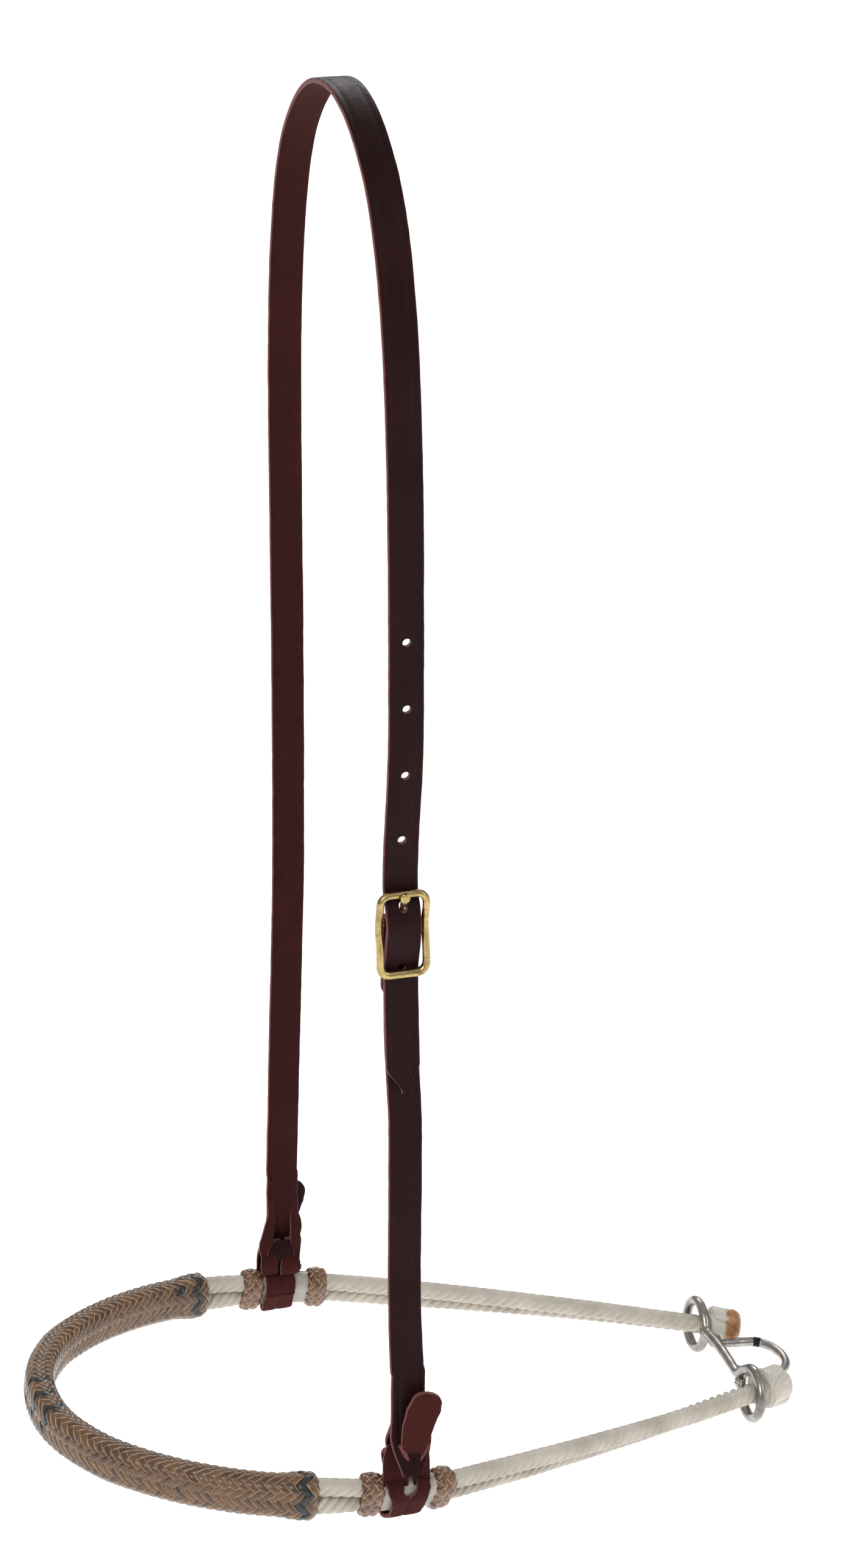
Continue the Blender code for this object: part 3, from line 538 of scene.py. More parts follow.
def direction(u, v, lift):
    """World direction of one in the noseband's own plane."""
    c, s = math.cos(DROOP), math.sin(DROOP)
    return np.stack([u * c + lift * s, v + 0 * u, -u * s + lift * c], -1)


def in_plane(u, v, lift=0.0):
    return LOOP_CENTRE + direction(np.asarray(u, float), np.asarray(v, float), np.asarray(lift, float))


near_half = [(u, -v, 0) for u, v in reversed(HALF_OUTLINE)]
LINE = resample(smooth_curve(near_half + [(u, v, 0) for u, v in HALF_OUTLINE[1:]]) * MM, 2401)[:, :2]
STEP = np.linalg.norm(LINE[1] - LINE[0])
tangents = unit(np.gradient(LINE, axis=0))
OUTWARD = direction(-tangents[:, 1], tangents[:, 0], 0 * tangents[:, 0])
UP = direction(np.zeros(1), np.zeros(1), np.ones(1))[0]
tilt = 28 * ramp(LINE[:, 0], COVER_END, -6 * MM) + 31 * ramp(LINE[:, 0], 14 * MM, RING_REACH)
tilt = np.radians(tilt)[:, None] * np.where(LINE[:, 1:] < 0, 1, -1)
CENTRES = in_plane(LINE[:, 0], LINE[:, 1])
PAIRS = UP * np.cos(tilt) + OUTWARD * np.sin(tilt)
ACROSS = OUTWARD * np.cos(tilt) - UP * np.sin(tilt)


def index_at(u, side):
    """The point of the line at u on the near (-1) or far (+1) side."""
    wanted = np.where(LINE[:, 1] * side > 0)[0]
    return int(wanted[np.argmin(np.abs(LINE[wanted, 0] - u))])


def line_frames(index):
    """Centre, pair and across directions, and tangent, at fractional points of the line."""
    at = np.clip(index, 0, len(LINE) - 1)
    span = np.arange(len(LINE))
    out = []
    for values in (CENTRES, PAIRS, ACROSS):
        out.append(np.stack([np.interp(at, span, values[:, k]) for k in range(3)], -1))
    out[1], out[2] = unit(out[1]), unit(out[2])
    return [*out, np.cross(out[2], out[1])]


def round_pair(share, half):
    """Places and normals, along the pair and across it, at a share of the way round a flat-sided section."""
    long, short = half
    straight = np.maximum(long - short, 0)
    total = 4 * straight + 2 * math.pi * short
    d = (share % 1.0) * total
    quarter = math.pi * short / 2
    marks = [quarter, quarter + 2 * straight, 3 * quarter + 2 * straight, 3 * quarter + 4 * straight]
    top = d / short
    bottom = (d - marks[1]) / short + math.pi / 2
    back = (d - marks[3]) / short + 1.5 * math.pi
    angle = np.select(
        [d < marks[0], d < marks[1], d < marks[2], d < marks[3]],
        [top, np.full_like(d, math.pi / 2), bottom, np.full_like(d, 1.5 * math.pi)],
        back,
    )
    slide = np.select(
        [d < marks[0], d < marks[1], d < marks[2], d < marks[3]],
        [straight, straight - (d - marks[0]), -straight, -straight + (d - marks[2])],
        straight,
    )
    normal = np.stack([np.cos(angle), np.sin(angle)], -1)
    return np.stack([slide + short * normal[..., 0], short * normal[..., 1]], -1), normal


class Wrap:
    """A surface round both ropes between two points of the line, with rounded ends."""

    def __init__(self, first, last, half_at, roll):
        self.first, self.last, self.half_at, self.roll = first, last, half_at, roll
        self.length = (last - first) * STEP

    def place(self, x, share, height):
        """World places of (distance along from the middle, share round, height above the surface)."""
        flat = self.length / 2 - self.roll
        over = np.maximum(np.abs(x) - flat, 0) / self.roll
        over = np.minimum(over, 2.2)
        along = np.where(over > 0, flat + self.roll * np.sin(over), np.abs(x)) * np.sign(x)
        index = (self.first + self.last) / 2 + along / STEP
        centre, pair, across, tangent = line_frames(index)
        shrink = self.roll * (1 - np.cos(over))
        half = self.half_at(index)
        spot, normal = round_pair(share, (half[0] - shrink, half[1] - shrink))
        outward = pair * normal[..., :1] + across * normal[..., 1:]
        lean = (np.cos(over) * np.ones_like(x))[..., None]
        push = unit(outward * lean + tangent * (np.sin(over) * np.sign(x))[..., None])
        return centre + pair * spot[..., :1] + across * spot[..., 1:] + push * height[..., None]


def perimeter(half):
    return 4 * (half[0] - half[1]) + 2 * math.pi * half[1]


def gap_shade_tube(wrap, height):
    """A dark tube under the strands: painted shade that shows in the gaps between them."""
    count = 48
    reach = wrap.length / 2 + 0.9 * wrap.roll
    xs = np.linspace(-reach, reach, max(6, int(2 * reach / (1.2 * MM))))
    x, share = np.meshgrid(xs, np.arange(count) / count, indexing="ij")
    verts = wrap.place(x, share, np.full_like(x, height)).reshape(-1, 3)
    uvs = np.stack([np.full(x.size, 0.5), np.full(x.size, 0.5)], 1)
    return verts, grid_faces(len(xs), count, True), uvs


def tiles(wrap, round_count, pitch, over_two, width, lift, seed, shift=0.0):
    """A bowed strip for each place where a strand shows: its grids, columns and rows, and a grid's shape."""
    rng = np.random.default_rng(seed)
    middle_half = wrap.half_at(np.array([(wrap.first + wrap.last) / 2]))
    rim = float(perimeter([h[0] for h in middle_half]))
    row_height = rim / round_count
    slope = math.atan2(row_height, pitch)
    crossing = row_height / 2 / math.sin(slope)
    if over_two:
        half_length, wave = 1.5 * crossing * 0.90, 2 * crossing
    else:
        half_length, wave = crossing * 0.88, crossing
    s = np.linspace(-1, 1, 11 if over_two else 9)
    w = np.array([-1.0, -0.98, -0.7, 0.0, 0.7, 0.98, 1.0])
    sink = np.array([-0.75, -0.24, -0.04, 0.05, -0.04, -0.24, -0.75]) * MM
    reach = wrap.length / 2 + 1.25 * wrap.roll
    grids, columns, rows = [], [], []
    row_total = round_count if over_two else 2 * round_count
    for row in range(row_total):
        leaning = 1 if row % 2 == 0 else -1
        centre = (row + 0.5) if over_two else row / 2
        offset = 0 if row % 2 == 0 else 0.5
        for column in range(-int(reach / pitch) - 1, int(reach / pitch) + 2):
            x0 = (column + offset) * pitch + shift
            if abs(x0) > reach - 0.5 * pitch * math.cos(slope):
                continue
            turn_by = slope + math.radians(rng.uniform(-2.5, 2.5))
            wide = width / 2 * rng.uniform(0.93, 1.05)
            grow = rng.uniform(0.96, 1.03)
            bow = leaning * rng.uniform(0.02, 0.10) * MM
            ss, ww = np.meshgrid(s * half_length * grow, w * wide, indexing="ij")
            narrowed = 1 - 0.16 * np.abs(s[:, None]) ** 3
            ww = ww * narrowed + bow * (1 - s[:, None] ** 2)
            x = x0 + ss * math.cos(turn_by) - ww * math.sin(turn_by) * leaning
            c = centre * row_height + leaning * ss * math.sin(turn_by) + ww * math.cos(turn_by)
            uneven = rng.uniform(-0.04, 0.05) * MM
            ride_height = lift * (1 + np.cos(math.pi * ss / wave)) + sink[None, :] + uneven
            grids.append(wrap.place(x, c / rim, ride_height))
            columns.append(column)
            rows.append(row)
    return np.array(grids), np.array(columns), np.array(rows), (len(s), len(w))


def tile_piece(name, grids, shape, look, seed, under=None):
    """Strands joined as one piece, with the dark tube of painted gap shade under them if it is given."""
    rng = np.random.default_rng(seed)
    per = shape[0] * shape[1]
    count = len(grids)
    base = grid_faces(*shape)
    faces = (base[None] + (np.arange(count) * per)[:, None, None]).reshape(-1, 4)
    across = np.array([0.0, 0.02, 0.14, 0.5, 0.86, 0.98, 1.0])
    uv = np.stack(np.meshgrid(across, np.linspace(0, 1, shape[0]), indexing="xy"), -1).reshape(-1, 2)
    uvs = np.tile(uv, (count, 1))
    tints = np.repeat(rng.uniform(0, 1, count), per)
    verts = grids.reshape(-1, 3)
    looks, face_looks = [look], np.zeros(len(faces), int)
    if under is not None:
        more_verts, more_faces, more_uvs = under
        faces = np.concatenate([faces, more_faces + len(verts)])
        face_looks = np.concatenate([face_looks, np.ones(len(more_faces), int)])
        verts = np.concatenate([verts, more_verts])
        uvs = np.concatenate([uvs, more_uvs])
        tints = np.concatenate([tints, np.full(len(more_verts), 0.5)])
        looks.append(GAP_SHADE)
    return piece(name, verts, faces, looks, "noseband", uvs, face_looks, tints)


# --- braided cover ----------------------------------------------------------

BRAID_ROUND = 12
BRAID_PITCH = 3.6 * MM
STRAND_WIDTH = 2.35 * MM
cover_first, cover_last = index_at(COVER_END, -1), index_at(COVER_END, 1)


def cover_half(index):
    from_end = np.minimum(index - cover_first, cover_last - index) * STEP
    bulge = ramp(from_end, -1 * MM, 3.0 * MM) * (1 - ramp(from_end, 6 * MM, 15 * MM))
    return (7.75 + 0.95 * bulge) * MM, (5.05 + 0.95 * bulge) * MM


cover = Wrap(cover_first, cover_last, cover_half, 2.4 * MM)
# The end bands set the pitch, so that each is a whole number of strands from the middle
INLAY_FROM_END = 5.0 * MM
end_column = int(round((cover.length / 2 - INLAY_FROM_END) / BRAID_PITCH))
lattice_pitch = (cover.length / 2 - INLAY_FROM_END) / end_column
STRAND_LIFT = 0.36 * MM
LATTICE_SHIFT = -0.9 * MM
grids, columns, rows, shape = tiles(
    cover, BRAID_ROUND, lattice_pitch, True, STRAND_WIDTH, STRAND_LIFT, 3, LATTICE_SHIFT
)
# The black strands by column
INLAYS = {
    "inlay_near_end": [-end_column],
    "inlay_nose_near": [-4],
    "inlay_nose_middle": [-1],
    "inlay_nose_far": [2],
    "inlay_far_end": [end_column],
}
is_black = np.zeros(len(grids), bool)
for name, wanted in INLAYS.items():
    chosen = np.isin(columns, wanted)
    if name == "inlay_far_end":
        # A single black strand strays from the band
        chosen |= (columns == end_column - 2) & (rows == 10)
    is_black |= chosen
    strip = tile_piece(f"{name}_strands", grids[chosen], shape, BLACK, len(name))
    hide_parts(name)
braid = tile_piece("nose_braid", grids[~is_black], shape, TAN, 5, gap_shade_tube(cover, -0.05 * MM))
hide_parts("braid_cover")

# --- ring knots and sleeves -------------------------------------------------

RING_KNOT_WIDTH = 7.5 * MM
RING_KNOT_HALF = (8.85 * MM, 5.35 * MM)
RING_KNOT_ROLL = 2.3 * MM
RING_KNOT_ROUND = 9
RING_KNOT_PITCH = 3.3 * MM
RING_KNOT_STRAND = 2.75 * MM
FRONT_KNOT_AT = -14.4 * MM
REAR_KNOT_AT = 13.0 * MM
SLEEVE_HALF = (7.95 * MM, 4.35 * MM)


def ring_knot_half(index):
    return tuple(np.full_like(index, h, dtype=float) for h in RING_KNOT_HALF)


for side, side_name in ((-1, "near"), (1, "far")):
    for at, end_name in ((FRONT_KNOT_AT, "front"), (REAR_KNOT_AT, "rear")):
        node = f"ring_knot_{side_name}_{end_name}"
        middle = index_at(at, side)
        reach = RING_KNOT_WIDTH / 2 / STEP
        wrap = Wrap(middle - reach, middle + reach, ring_knot_half, RING_KNOT_ROLL)
        seed = 20 + side * 3 + (at > 0)
        parts, _, _, part_shape = tiles(
            wrap, RING_KNOT_ROUND, RING_KNOT_PITCH, False, RING_KNOT_STRAND, STRAND_LIFT, seed
        )
        under = gap_shade_tube(wrap, -0.1 * MM)
        knot = tile_piece(f"{node}_strands", parts, part_shape, RING_TAN, seed, under)
        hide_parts(node)
    ends = sorted((index_at(FRONT_KNOT_AT, side), index_at(REAR_KNOT_AT, side)))
    index = np.linspace(ends[0] + 5, ends[1] - 5, 30)
    centre, pair, across, _ = line_frames(index)
    share = np.arange(56) / 56
    spot, normal = round_pair(share, SLEEVE_HALF)
    wobble = 1 + wavy(30, 5, 0.012, 40 + side)[:, None, None]
    ring = pair[:, None] * spot[None, :, :1] + across[:, None] * spot[None, :, 1:]
    verts = centre[:, None] + ring * wobble
    uvs = np.stack(np.meshgrid(share, np.linspace(0, 1, 30)), -1).reshape(-1, 2)
    faces = grid_faces(30, 56, True)
    name = f"wear_sleeve_{side_name}_tube"
    tube = piece(name, verts.reshape(-1, 3), faces, SLEEVE, "noseband", uvs)
    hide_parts(f"wear_sleeve_{side_name}")

# --- ropes ------------------------------------------------------------------

ROPE_RADIUS = 3.55 * MM
ROPE_PITCH = 7.25 * MM
LAY = 15.6 * MM
GROOVE_DEPTH = 1.0 * MM
STRANDS = 4
ROPE_END = 165.4 * MM

for name, side in (("rope_upper", 1), ("rope_lower", -1)):
    index = np.arange(index_at(ROPE_END, -1), index_at(ROPE_END, 1), 2.6)
    centre, pair, across, tangent = line_frames(index)
    middle = centre + pair * side * ROPE_PITCH / 2
    sides = 36
    around = np.arange(sides) / sides * 2 * math.pi
    twist = index * STEP / LAY * 2 * math.pi + (0.6 if side > 0 else 0)
    beta = (around * STRANDS / 2 / math.pi) % 1.0 - 0.5
    groove = (np.abs(beta) * 2) ** 2.2
    angle = around[None] + twist[:, None]
    ray = pair[:, None] * np.cos(angle)[..., None] + across[:, None] * np.sin(angle)[..., None]
    depth = GROOVE_DEPTH
    if side > 0:
        # The upper rope's top is worn smooth
        depth = depth * (1 - 0.8 * ramp(ray @ UP, -0.1, 0.7))
    radius = ROPE_RADIUS - depth * groove[None] + wavy(len(index), 9, 0.05 * MM, 60 + side)[:, None]
    verts = (middle[:, None] + ray * radius[..., None]).reshape(-1, 3)
    strand_uv = np.tile(around / 2 / math.pi * STRANDS, len(index))
    uvs = np.stack([strand_uv, np.repeat(index * STEP * 100, sides)], 1)
    faces = capped_tube(len(index), sides)
    laid = piece(f"{name}_laid", verts, faces, ROPE, "noseband", uvs)
    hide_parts(name)

# --- end knots --------------------------------------------------------------

KNOT_START = 164.6 * MM
KNOT_LENGTH = 14.5 * MM
# (mm along, share of the radius)
KNOT_PROFILE = [(0, 0.50), (0.6, 0.78), (2, 0.95), (4.5, 1.0), (8.5, 1.0)]
KNOT_PROFILE += [(11.5, 0.92), (13.2, 0.76), (14.2, 0.52), (14.5, 0.2)]
KNOT_RADII = {"near": 8.3 * MM, "far": 7.5 * MM}
KNOT_LIFTS = {"near": 0.0, "far": 0.8 * MM}
KNOT_LOBES = 4
KNOT_TWIST = 1.9
KNOT_RELIEF = 1.7 * MM

for side, side_name in ((-1, "near"), (1, "far")):
    node = f"end_knot_{side_name}"
    a, b = index_at(RING_REACH + 4 * MM, side), index_at(RING_REACH + 14 * MM, side)
    start = in_plane(KNOT_START, LINE[a][1], KNOT_LIFTS[side_name])
    axis = unit(in_plane(*LINE[b]) - in_plane(*LINE[a]))
    out = unit(np.cross(axis, UP))
    path = smooth_curve([(along * MM, share, 0) for along, share in KNOT_PROFILE], 6)
    sides = 60
    around = np.arange(sides) / sides * 2 * math.pi
    beta = (around * KNOT_LOBES / 2 / math.pi) % 1.0 - 0.5
    groove = (np.abs(beta) * 2) ** 2.4
    verts = []
    for along, share, _ in path:
        t = along / KNOT_LENGTH
        angle = around + side * (KNOT_TWIST * t + 0.25 * math.sin(6 * t))
        relief = KNOT_RELIEF * math.sin(math.pi * min(max(t, 0.02), 0.98)) ** 0.6
        radius = KNOT_RADII[side_name] * share - relief * groove * min(1, share)
        spoke = UP * np.cos(angle)[:, None] + out * np.sin(angle)[:, None]
        verts.append(start + axis * along + spoke * np.maximum(radius, 0.3 * MM)[:, None])
    verts = np.array(verts).reshape(-1, 3)
    strand_uv = np.tile(around / 2 / math.pi * KNOT_LOBES, len(path))
    uvs = np.stack([strand_uv, np.repeat(path[:, 0] / KNOT_LENGTH, sides)], 1)
    faces = capped_tube(len(path), sides)
    knot = piece(f"{node}_strands", verts, faces, KNOT_ROPE[side_name], "noseband", uvs)
    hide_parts(node)

# --- tie-down hardware ------------------------------------------------------

WIRE = 3.9 * MM
RING_RADIUS = 9.65 * MM
DEE_DEPTH = 28.5 * MM
DEE_HALF = 13 * MM
DEE_SHIFT = 1 * MM
DEE_LIFT = -1.2 * MM
WELD_SUBDIVISIONS = 4


def arc(centre, start, end, radius, count):
    angle = np.radians(np.linspace(start, end, count))
    return [(centre + radius * math.cos(a), radius * math.sin(a), 0) for a in angle]


# The bar between the rings, (y, lift) in mm
bar = [(19.6, 2.9), (17.2, 2.2), (13, 2.4), (8, 2.6), (0, 2.3), (-8, 1.5), (-14.0, 0.8), (-16.4, 1.6)]
bar.append((-19.2, 4.6))
route = arc(RING_SPREAD, -176, 152, RING_RADIUS, 40) + [(y * MM, z * MM, 0) for y, z in bar]
route += arc(-RING_SPREAD, 52, 343, RING_RADIUS, 40)
route = spaced(smooth_curve(route, 5), 0.8 * MM)
places = in_plane(np.full(len(route), RING_REACH), route[:, 0], route[:, 1])
wire = rod("ring_bar_bent_wire", places, WIRE / 2, NICKEL, "hardware", ripple=0.025)
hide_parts("ring_bar_wire")

front = RING_REACH + WIRE / 2 + 0.3 * MM
back = RING_REACH + DEE_DEPTH - 2 * MM
loop = [(front, -DEE_HALF), (front + 6 * MM, -DEE_HALF)]
for a in np.linspace(0.15, math.pi / 2, 12):
    loop.append((back - 9 * MM + 9 * MM * math.sin(a), -DEE_HALF * math.cos(a)))
outline = np.array([(u, y, 0) for u, y in loop + [(u, -y) for u, y in reversed(loop[:-1])]])
outline = spaced(smooth_curve(outline, 4), 0.7 * MM)
# A slight swelling where the wire's ends were joined
swelling = np.exp(-(((np.arange(len(outline)) - 0.83 * len(outline)) / 2.2) ** 2))
dee_radius = WIRE * 0.47 * (1 + 0.10 * swelling)
dee_line = in_plane(outline[:, 0], outline[:, 1] + DEE_SHIFT, DEE_LIFT)
dee = rod("dee_bent_loop", dee_line, dee_radius, NICKEL, "hardware", ripple=0.03)
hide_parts("dee_loop")

seam_start = int(0.70 * len(outline))
seam_line = dee_line[seam_start : seam_start + 4]
SEAM = metal("seam_band", (0.030, 0.032, 0.034), (0.016, 0.017, 0.018), (0.35, 0.55), (0.05, 0.05, 0.05))
rod("dee_seam_band", seam_line, WIRE * 0.47 + 0.12 * MM, SEAM, "hardware", sides=28)

# Beads of weld: u, then y, lift and radius in mm
weld_places = {
    "weld_ring_far": (RING_REACH, 19.9, 1.2, 2.4),
    "weld_ring_near": (RING_REACH, -18.4, -1.0, 2.4),
    "weld_dee_far": (RING_REACH + 1.6 * MM, 13.8, 0.6, 2.8),
    "weld_dee_near": (RING_REACH + 1.6 * MM, -11.8, 0.0, 2.5),
}
for name, (u, y, lift, size) in weld_places.items():
    ball = bmesh.new()
    bmesh.ops.create_icosphere(ball, subdivisions=WELD_SUBDIVISIONS, radius=size * MM)
    centre = in_plane(u, y * MM, lift * MM)
    for vert in ball.verts:
        d = vert.co.normalized()
        lump = 1 + 0.09 * math.sin(7 * d.x + size) * math.cos(6 * d.y) + 0.05 * math.sin(11 * d.z + 5 * d.x)
        vert.co = Vector(centre) + vert.co * lump
    verts = [tuple(v.co) for v in ball.verts]
    faces = [[v.index for v in f.verts] for f in ball.faces]
    ball.free()
    piece(name, verts, faces, NICKEL, "hardware")

# --- buckle -----------------------------------------------------------------

BUCKLE_WIDTH = 19.8 * MM
BUCKLE_HEIGHT = 33 * MM
BUCKLE_ROD = 2.8 * MM
BUCKLE_TOP = -269.2 * MM
BUCKLE_BOTTOM = BUCKLE_TOP - (BUCKLE_HEIGHT - BUCKLE_ROD)
BUCKLE_Y = -77.4 * MM
BAR_CENTRE = np.array([-0.002, -0.0732, -0.2812])

half_w = (BUCKLE_WIDTH - BUCKLE_ROD) / 2
corner = 3.6 * MM
outline = []
for cx, cz, start in (
    (half_w - corner, BUCKLE_TOP - corner, 90),
    (half_w - corner, BUCKLE_BOTTOM + corner, 0),
    (-half_w + corner, BUCKLE_BOTTOM + corner, -90),
    (-half_w + corner, BUCKLE_TOP - corner, -180),
):
    for angle in np.radians(np.linspace(start, start - 90, 10)):
        outline.append((cx + corner * math.cos(angle), cz + corner * math.sin(angle), 0))
outline = np.array(outline + outline[:1])
outline = resample(outline, 160)[:-1]
span = np.where(outline[:, 1] > BAR_CENTRE[2], BUCKLE_TOP - BAR_CENTRE[2], BAR_CENTRE[2] - BUCKLE_BOTTOM)
near_bar = np.maximum(0, 1 - np.abs(outline[:, 1] - BAR_CENTRE[2]) / (span * 0.72))
sink = 1.6 * MM * near_bar**2 * (3 - 2 * near_bar)
places = np.stack([BAR_CENTRE[0] + outline[:, 0], BUCKLE_Y + sink, outline[:, 1]], 1)
bottom_share = ramp(-outline[:, 1], -BUCKLE_BOTTOM - 5 * MM, -BUCKLE_BOTTOM)
radii = (1.38 + 0.20 * bottom_share) * MM
buckle = rod("buckle_cast_frame", places, radii, BRASS, "buckle", closed=True, sides=28)
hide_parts("buckle_frame")
bar_x = np.linspace(-half_w, half_w, 24)
drop = 1.6 * MM + 2.6 * MM * ramp(half_w - np.abs(bar_x), 0, 0.9 * MM)
bar_points = np.stack([BAR_CENTRE[0] + bar_x, BUCKLE_Y + drop, np.full(24, BAR_CENTRE[2])], 1)
rod("buckle_centre_bar", bar_points, 1.2 * MM, BRASS, "buckle", sides=20)

# The tongue's eye round the bar, then its pin: (y, z) from the bar's centre, in mm
EYE_RADIUS = 2.42 * MM
TONGUE_PIN = ((-1.2, 4.2), (-2.3, 6.2), (-4.6, 8.5), (-6.6, 10.7), (-7.0, 13.2))
turns = np.radians(np.linspace(-150, 95, 12))
line = [(EYE_RADIUS * -math.cos(a), EYE_RADIUS * math.sin(a), 0) for a in turns]
line += [(y * MM, z * MM, 0) for y, z in TONGUE_PIN]
path = resample(smooth_curve(line, 6), 60)
along = np.linspace(0, 1, 60)
wide = 0.92 + 0.72 * ramp(along, 0.66, 0.93) - 0.55 * ramp(along, 0.955, 1.0)
deep = 0.95 - 0.18 * ramp(along, 0.66, 0.93) - 0.2 * ramp(along, 0.955, 1.0)
pin_places = np.stack([np.full(60, BAR_CENTRE[0]), BAR_CENTRE[1] + path[:, 0], BAR_CENTRE[2] + path[:, 1]], 1)


def flat_rod(name, points, widths, depths, look, body):
    """A bar whose section is wide along X and thin in its own bend."""
    tangent = unit(np.gradient(points, axis=0))
    side_way = np.array([1.0, 0, 0])
    thin_way = np.cross(tangent, side_way)
    angle = np.arange(28) / 28 * 2 * math.pi
    rings = points[:, None] + side_way * (np.cos(angle)[None, :, None] * widths[:, None, None])
    rings = rings + thin_way[:, None] * (np.sin(angle)[None, :, None] * depths[:, None, None])
    return piece(name, rings.reshape(-1, 3), capped_tube(len(points), 28), look, body)


tongue = flat_rod("buckle_tongue_pin", pin_places, wide * 1.1 * MM, deep * 1.1 * MM, BRASS, "tongue")
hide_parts("buckle_tongue")

# --- straps -----------------------------------------------------------------

STRAP_WIDTH = 12.7 * MM
STRAP_THICK = 2.0 * MM
BILLET_TIP = -346 * MM
CREASE_AT = 0.60


def strap(name, rows, thick, looks, outward=1, creased=False, seed=1, step=1.1 * MM, fray=0.02):
    """A strap along rows of (x, y, z, width, and the direction across it), grain on its outward side."""
    rows = np.array(rows, float)
    if rows.shape[1] == 4:
        rows = np.concatenate([rows, np.tile([1.0, 0, 0], (len(rows), 1))], axis=1)
    path = spaced(rows, step)
    places, widths, across = path[:, :3], path[:, 3], path[:, 4:7]
    tangent = unit(np.gradient(places, axis=0))
    across = unit(across - tangent * (across * tangent).sum(1)[:, None])
    normal = np.cross(across, tangent) * outward
    n = len(path)
    # The section, as shares of half the width and of the thickness
    dip = 0.09 if creased else 0.0
    top = [(-0.96, 0.46), (-0.86, 0.5), (-CREASE_AT - 0.05, 0.5), (-CREASE_AT, 0.5 - dip)]
    top += [(-CREASE_AT + 0.05, 0.5), (-0.3, 0.52)]
    top = top + [(0.0, 0.53)] + [(-a, b) for a, b in reversed(top)]
    under = [(0.96, -0.46), (0.6, -0.5), (0.2, -0.52), (-0.2, -0.52), (-0.6, -0.5), (-0.96, -0.46)]
    section = [(-1.0, -0.25), (-1.0, 0.25)] + top + [(1.0, 0.25), (1.0, -0.25)] + under
    kinds = [2] + [2] + [0] * (len(top) - 1) + [2, 2, 2] + [1] * (len(under) - 1) + [2]
    a = np.array([s[0] for s in section])
    b = np.array([s[1] for s in section])
    left = 1 + wavy(n, 3, fray, seed) + wavy(n, 14, fray, seed + 1)
    right = 1 + wavy(n, 3, fray, seed + 2) + wavy(n, 14, fray, seed + 3)
    stretch = np.where(a[None] < 0, left[:, None], right[:, None])
    edge = np.abs(a[None]) > 0.9
    aa = a[None] * np.where(edge, stretch, 1)
    wave = wavy(n, 22, 0.16 * MM, seed + 4)
    verts = places[:, None] + across[:, None] * (aa * widths[:, None] / 2)[..., None]
    verts = verts + normal[:, None] * (b[None] * thick + wave[:, None])[..., None]
    count = len(section)
    face_looks = kinds * (n - 1) + [2, 2]
    along = np.concatenate([[0], np.cumsum(np.linalg.norm(np.diff(places, axis=0), axis=1))]) * 10
    uvs = np.stack([np.tile(a * 0.5 + 0.5, n), np.repeat(along, count)], 1)
    faces = capped_tube(n, count)
    return piece(name, verts.reshape(-1, 3), faces, looks, "headstall", uvs, face_looks)


# Half of the crown, (y, z) in mm
ARCH = [(0, 1.0), (14, -0.6), (27.7, -6), (40, -14.5), (51.5, -26.5), (61.5, -46), (69.6, -77)]
ARCH += [(74, -122), (74.8, -176), (75.0, -225)]
plane = BUCKLE_Y
bar_z = BAR_CENTRE[2]
behind = BUCKLE_ROD / 2 + STRAP_THICK / 2 + 0.8 * MM
# The near strap from above the buckle, over its bar and down to the tip, (y, z)
BILLET = [
    (plane + behind + 0.3 * MM, BUCKLE_TOP + 12 * MM),
    (plane + behind, BUCKLE_TOP + 0.2 * MM),
    (plane + 0.3 * MM, BUCKLE_TOP - 6.5 * MM),
    (plane - 0.75 * MM, bar_z - 0.5 * MM),
    (plane + 0.6 * MM, bar_z - 8 * MM),
    (plane + 3.1 * MM, BUCKLE_BOTTOM + 1 * MM),
    (plane + 3.0 * MM, BUCKLE_BOTTOM - 9 * MM),
    (plane + 1.6 * MM, BUCKLE_BOTTOM - 30 * MM),
    (plane + 0.2 * MM, BILLET_TIP),
]
# The strap above the ropes, in mm from their middle: sideways, outwards, height, width
KNOT_BODY = [
    (0.2, 1.0, 46, 12.8),
    (0.2, 1.0, 38, 12.9),
    (0.3, 1.2, 33, 13.2),
    (0.7, 1.9, 28, 15.2),
    (0.8, 2.9, 24, 15.6),
    (0.5, 4.3, 20, 14.0),
    (0.1, 5.8, 16.4, 11.2),
    (-0.3, 7.2, 13.4, 8.4),
    (-0.4, 8.0, 11.6, 7.0),
]


def knot_row(side, row):
    """A row in the world: sideways, outwards and height are from the middle of the ropes at the loop."""
    x, out, z, *rest = row
    place = [LOOP_CENTRE[0] + x * MM, side * (LOOP_SPREAD + out * MM), LOOP_CENTRE[2] + z * MM]
    if rest:
        place.append(rest[0] * MM)
    if len(rest) > 1:
        ax, ay, az = rest[1:]
        place += [ax, side * ay, az]
    return place


def flat_rows(line, width):
    return [(0.0, y, z, width) for y, z in line]


line = flat_rows(list(reversed(BILLET)), STRAP_WIDTH)
arch = [(-y * MM, z * MM) for y, z in reversed(ARCH)] + [(y * MM, z * MM) for y, z in ARCH[1:]]
line += flat_rows(arch, STRAP_WIDTH)
line += flat_rows([(79 * MM, -356 * MM), (80.6 * MM, -420 * MM)], STRAP_WIDTH)
crown_rows = smooth_curve(line + [knot_row(1, row) for row in KNOT_BODY], 24)
on_near = crown_rows[:, 1] < 0
shift_near = BAR_CENTRE[0] * ramp(-crown_rows[:, 2], 200 * MM, -BUCKLE_TOP)
shift_far = LOOP_CENTRE[0] * ramp(-crown_rows[:, 2], 300 * MM, 446 * MM)
below = crown_rows[:, 2] < -455 * MM
crown_rows[:, 0] = np.where(on_near, shift_near, np.where(below, crown_rows[:, 0], shift_far))
tip_share = np.maximum(0.10, ramp(crown_rows[:, 2], BILLET_TIP - 1 * MM, BILLET_TIP + 11 * MM))
crown_rows[:, 3] *= np.where(on_near, tip_share, 1)
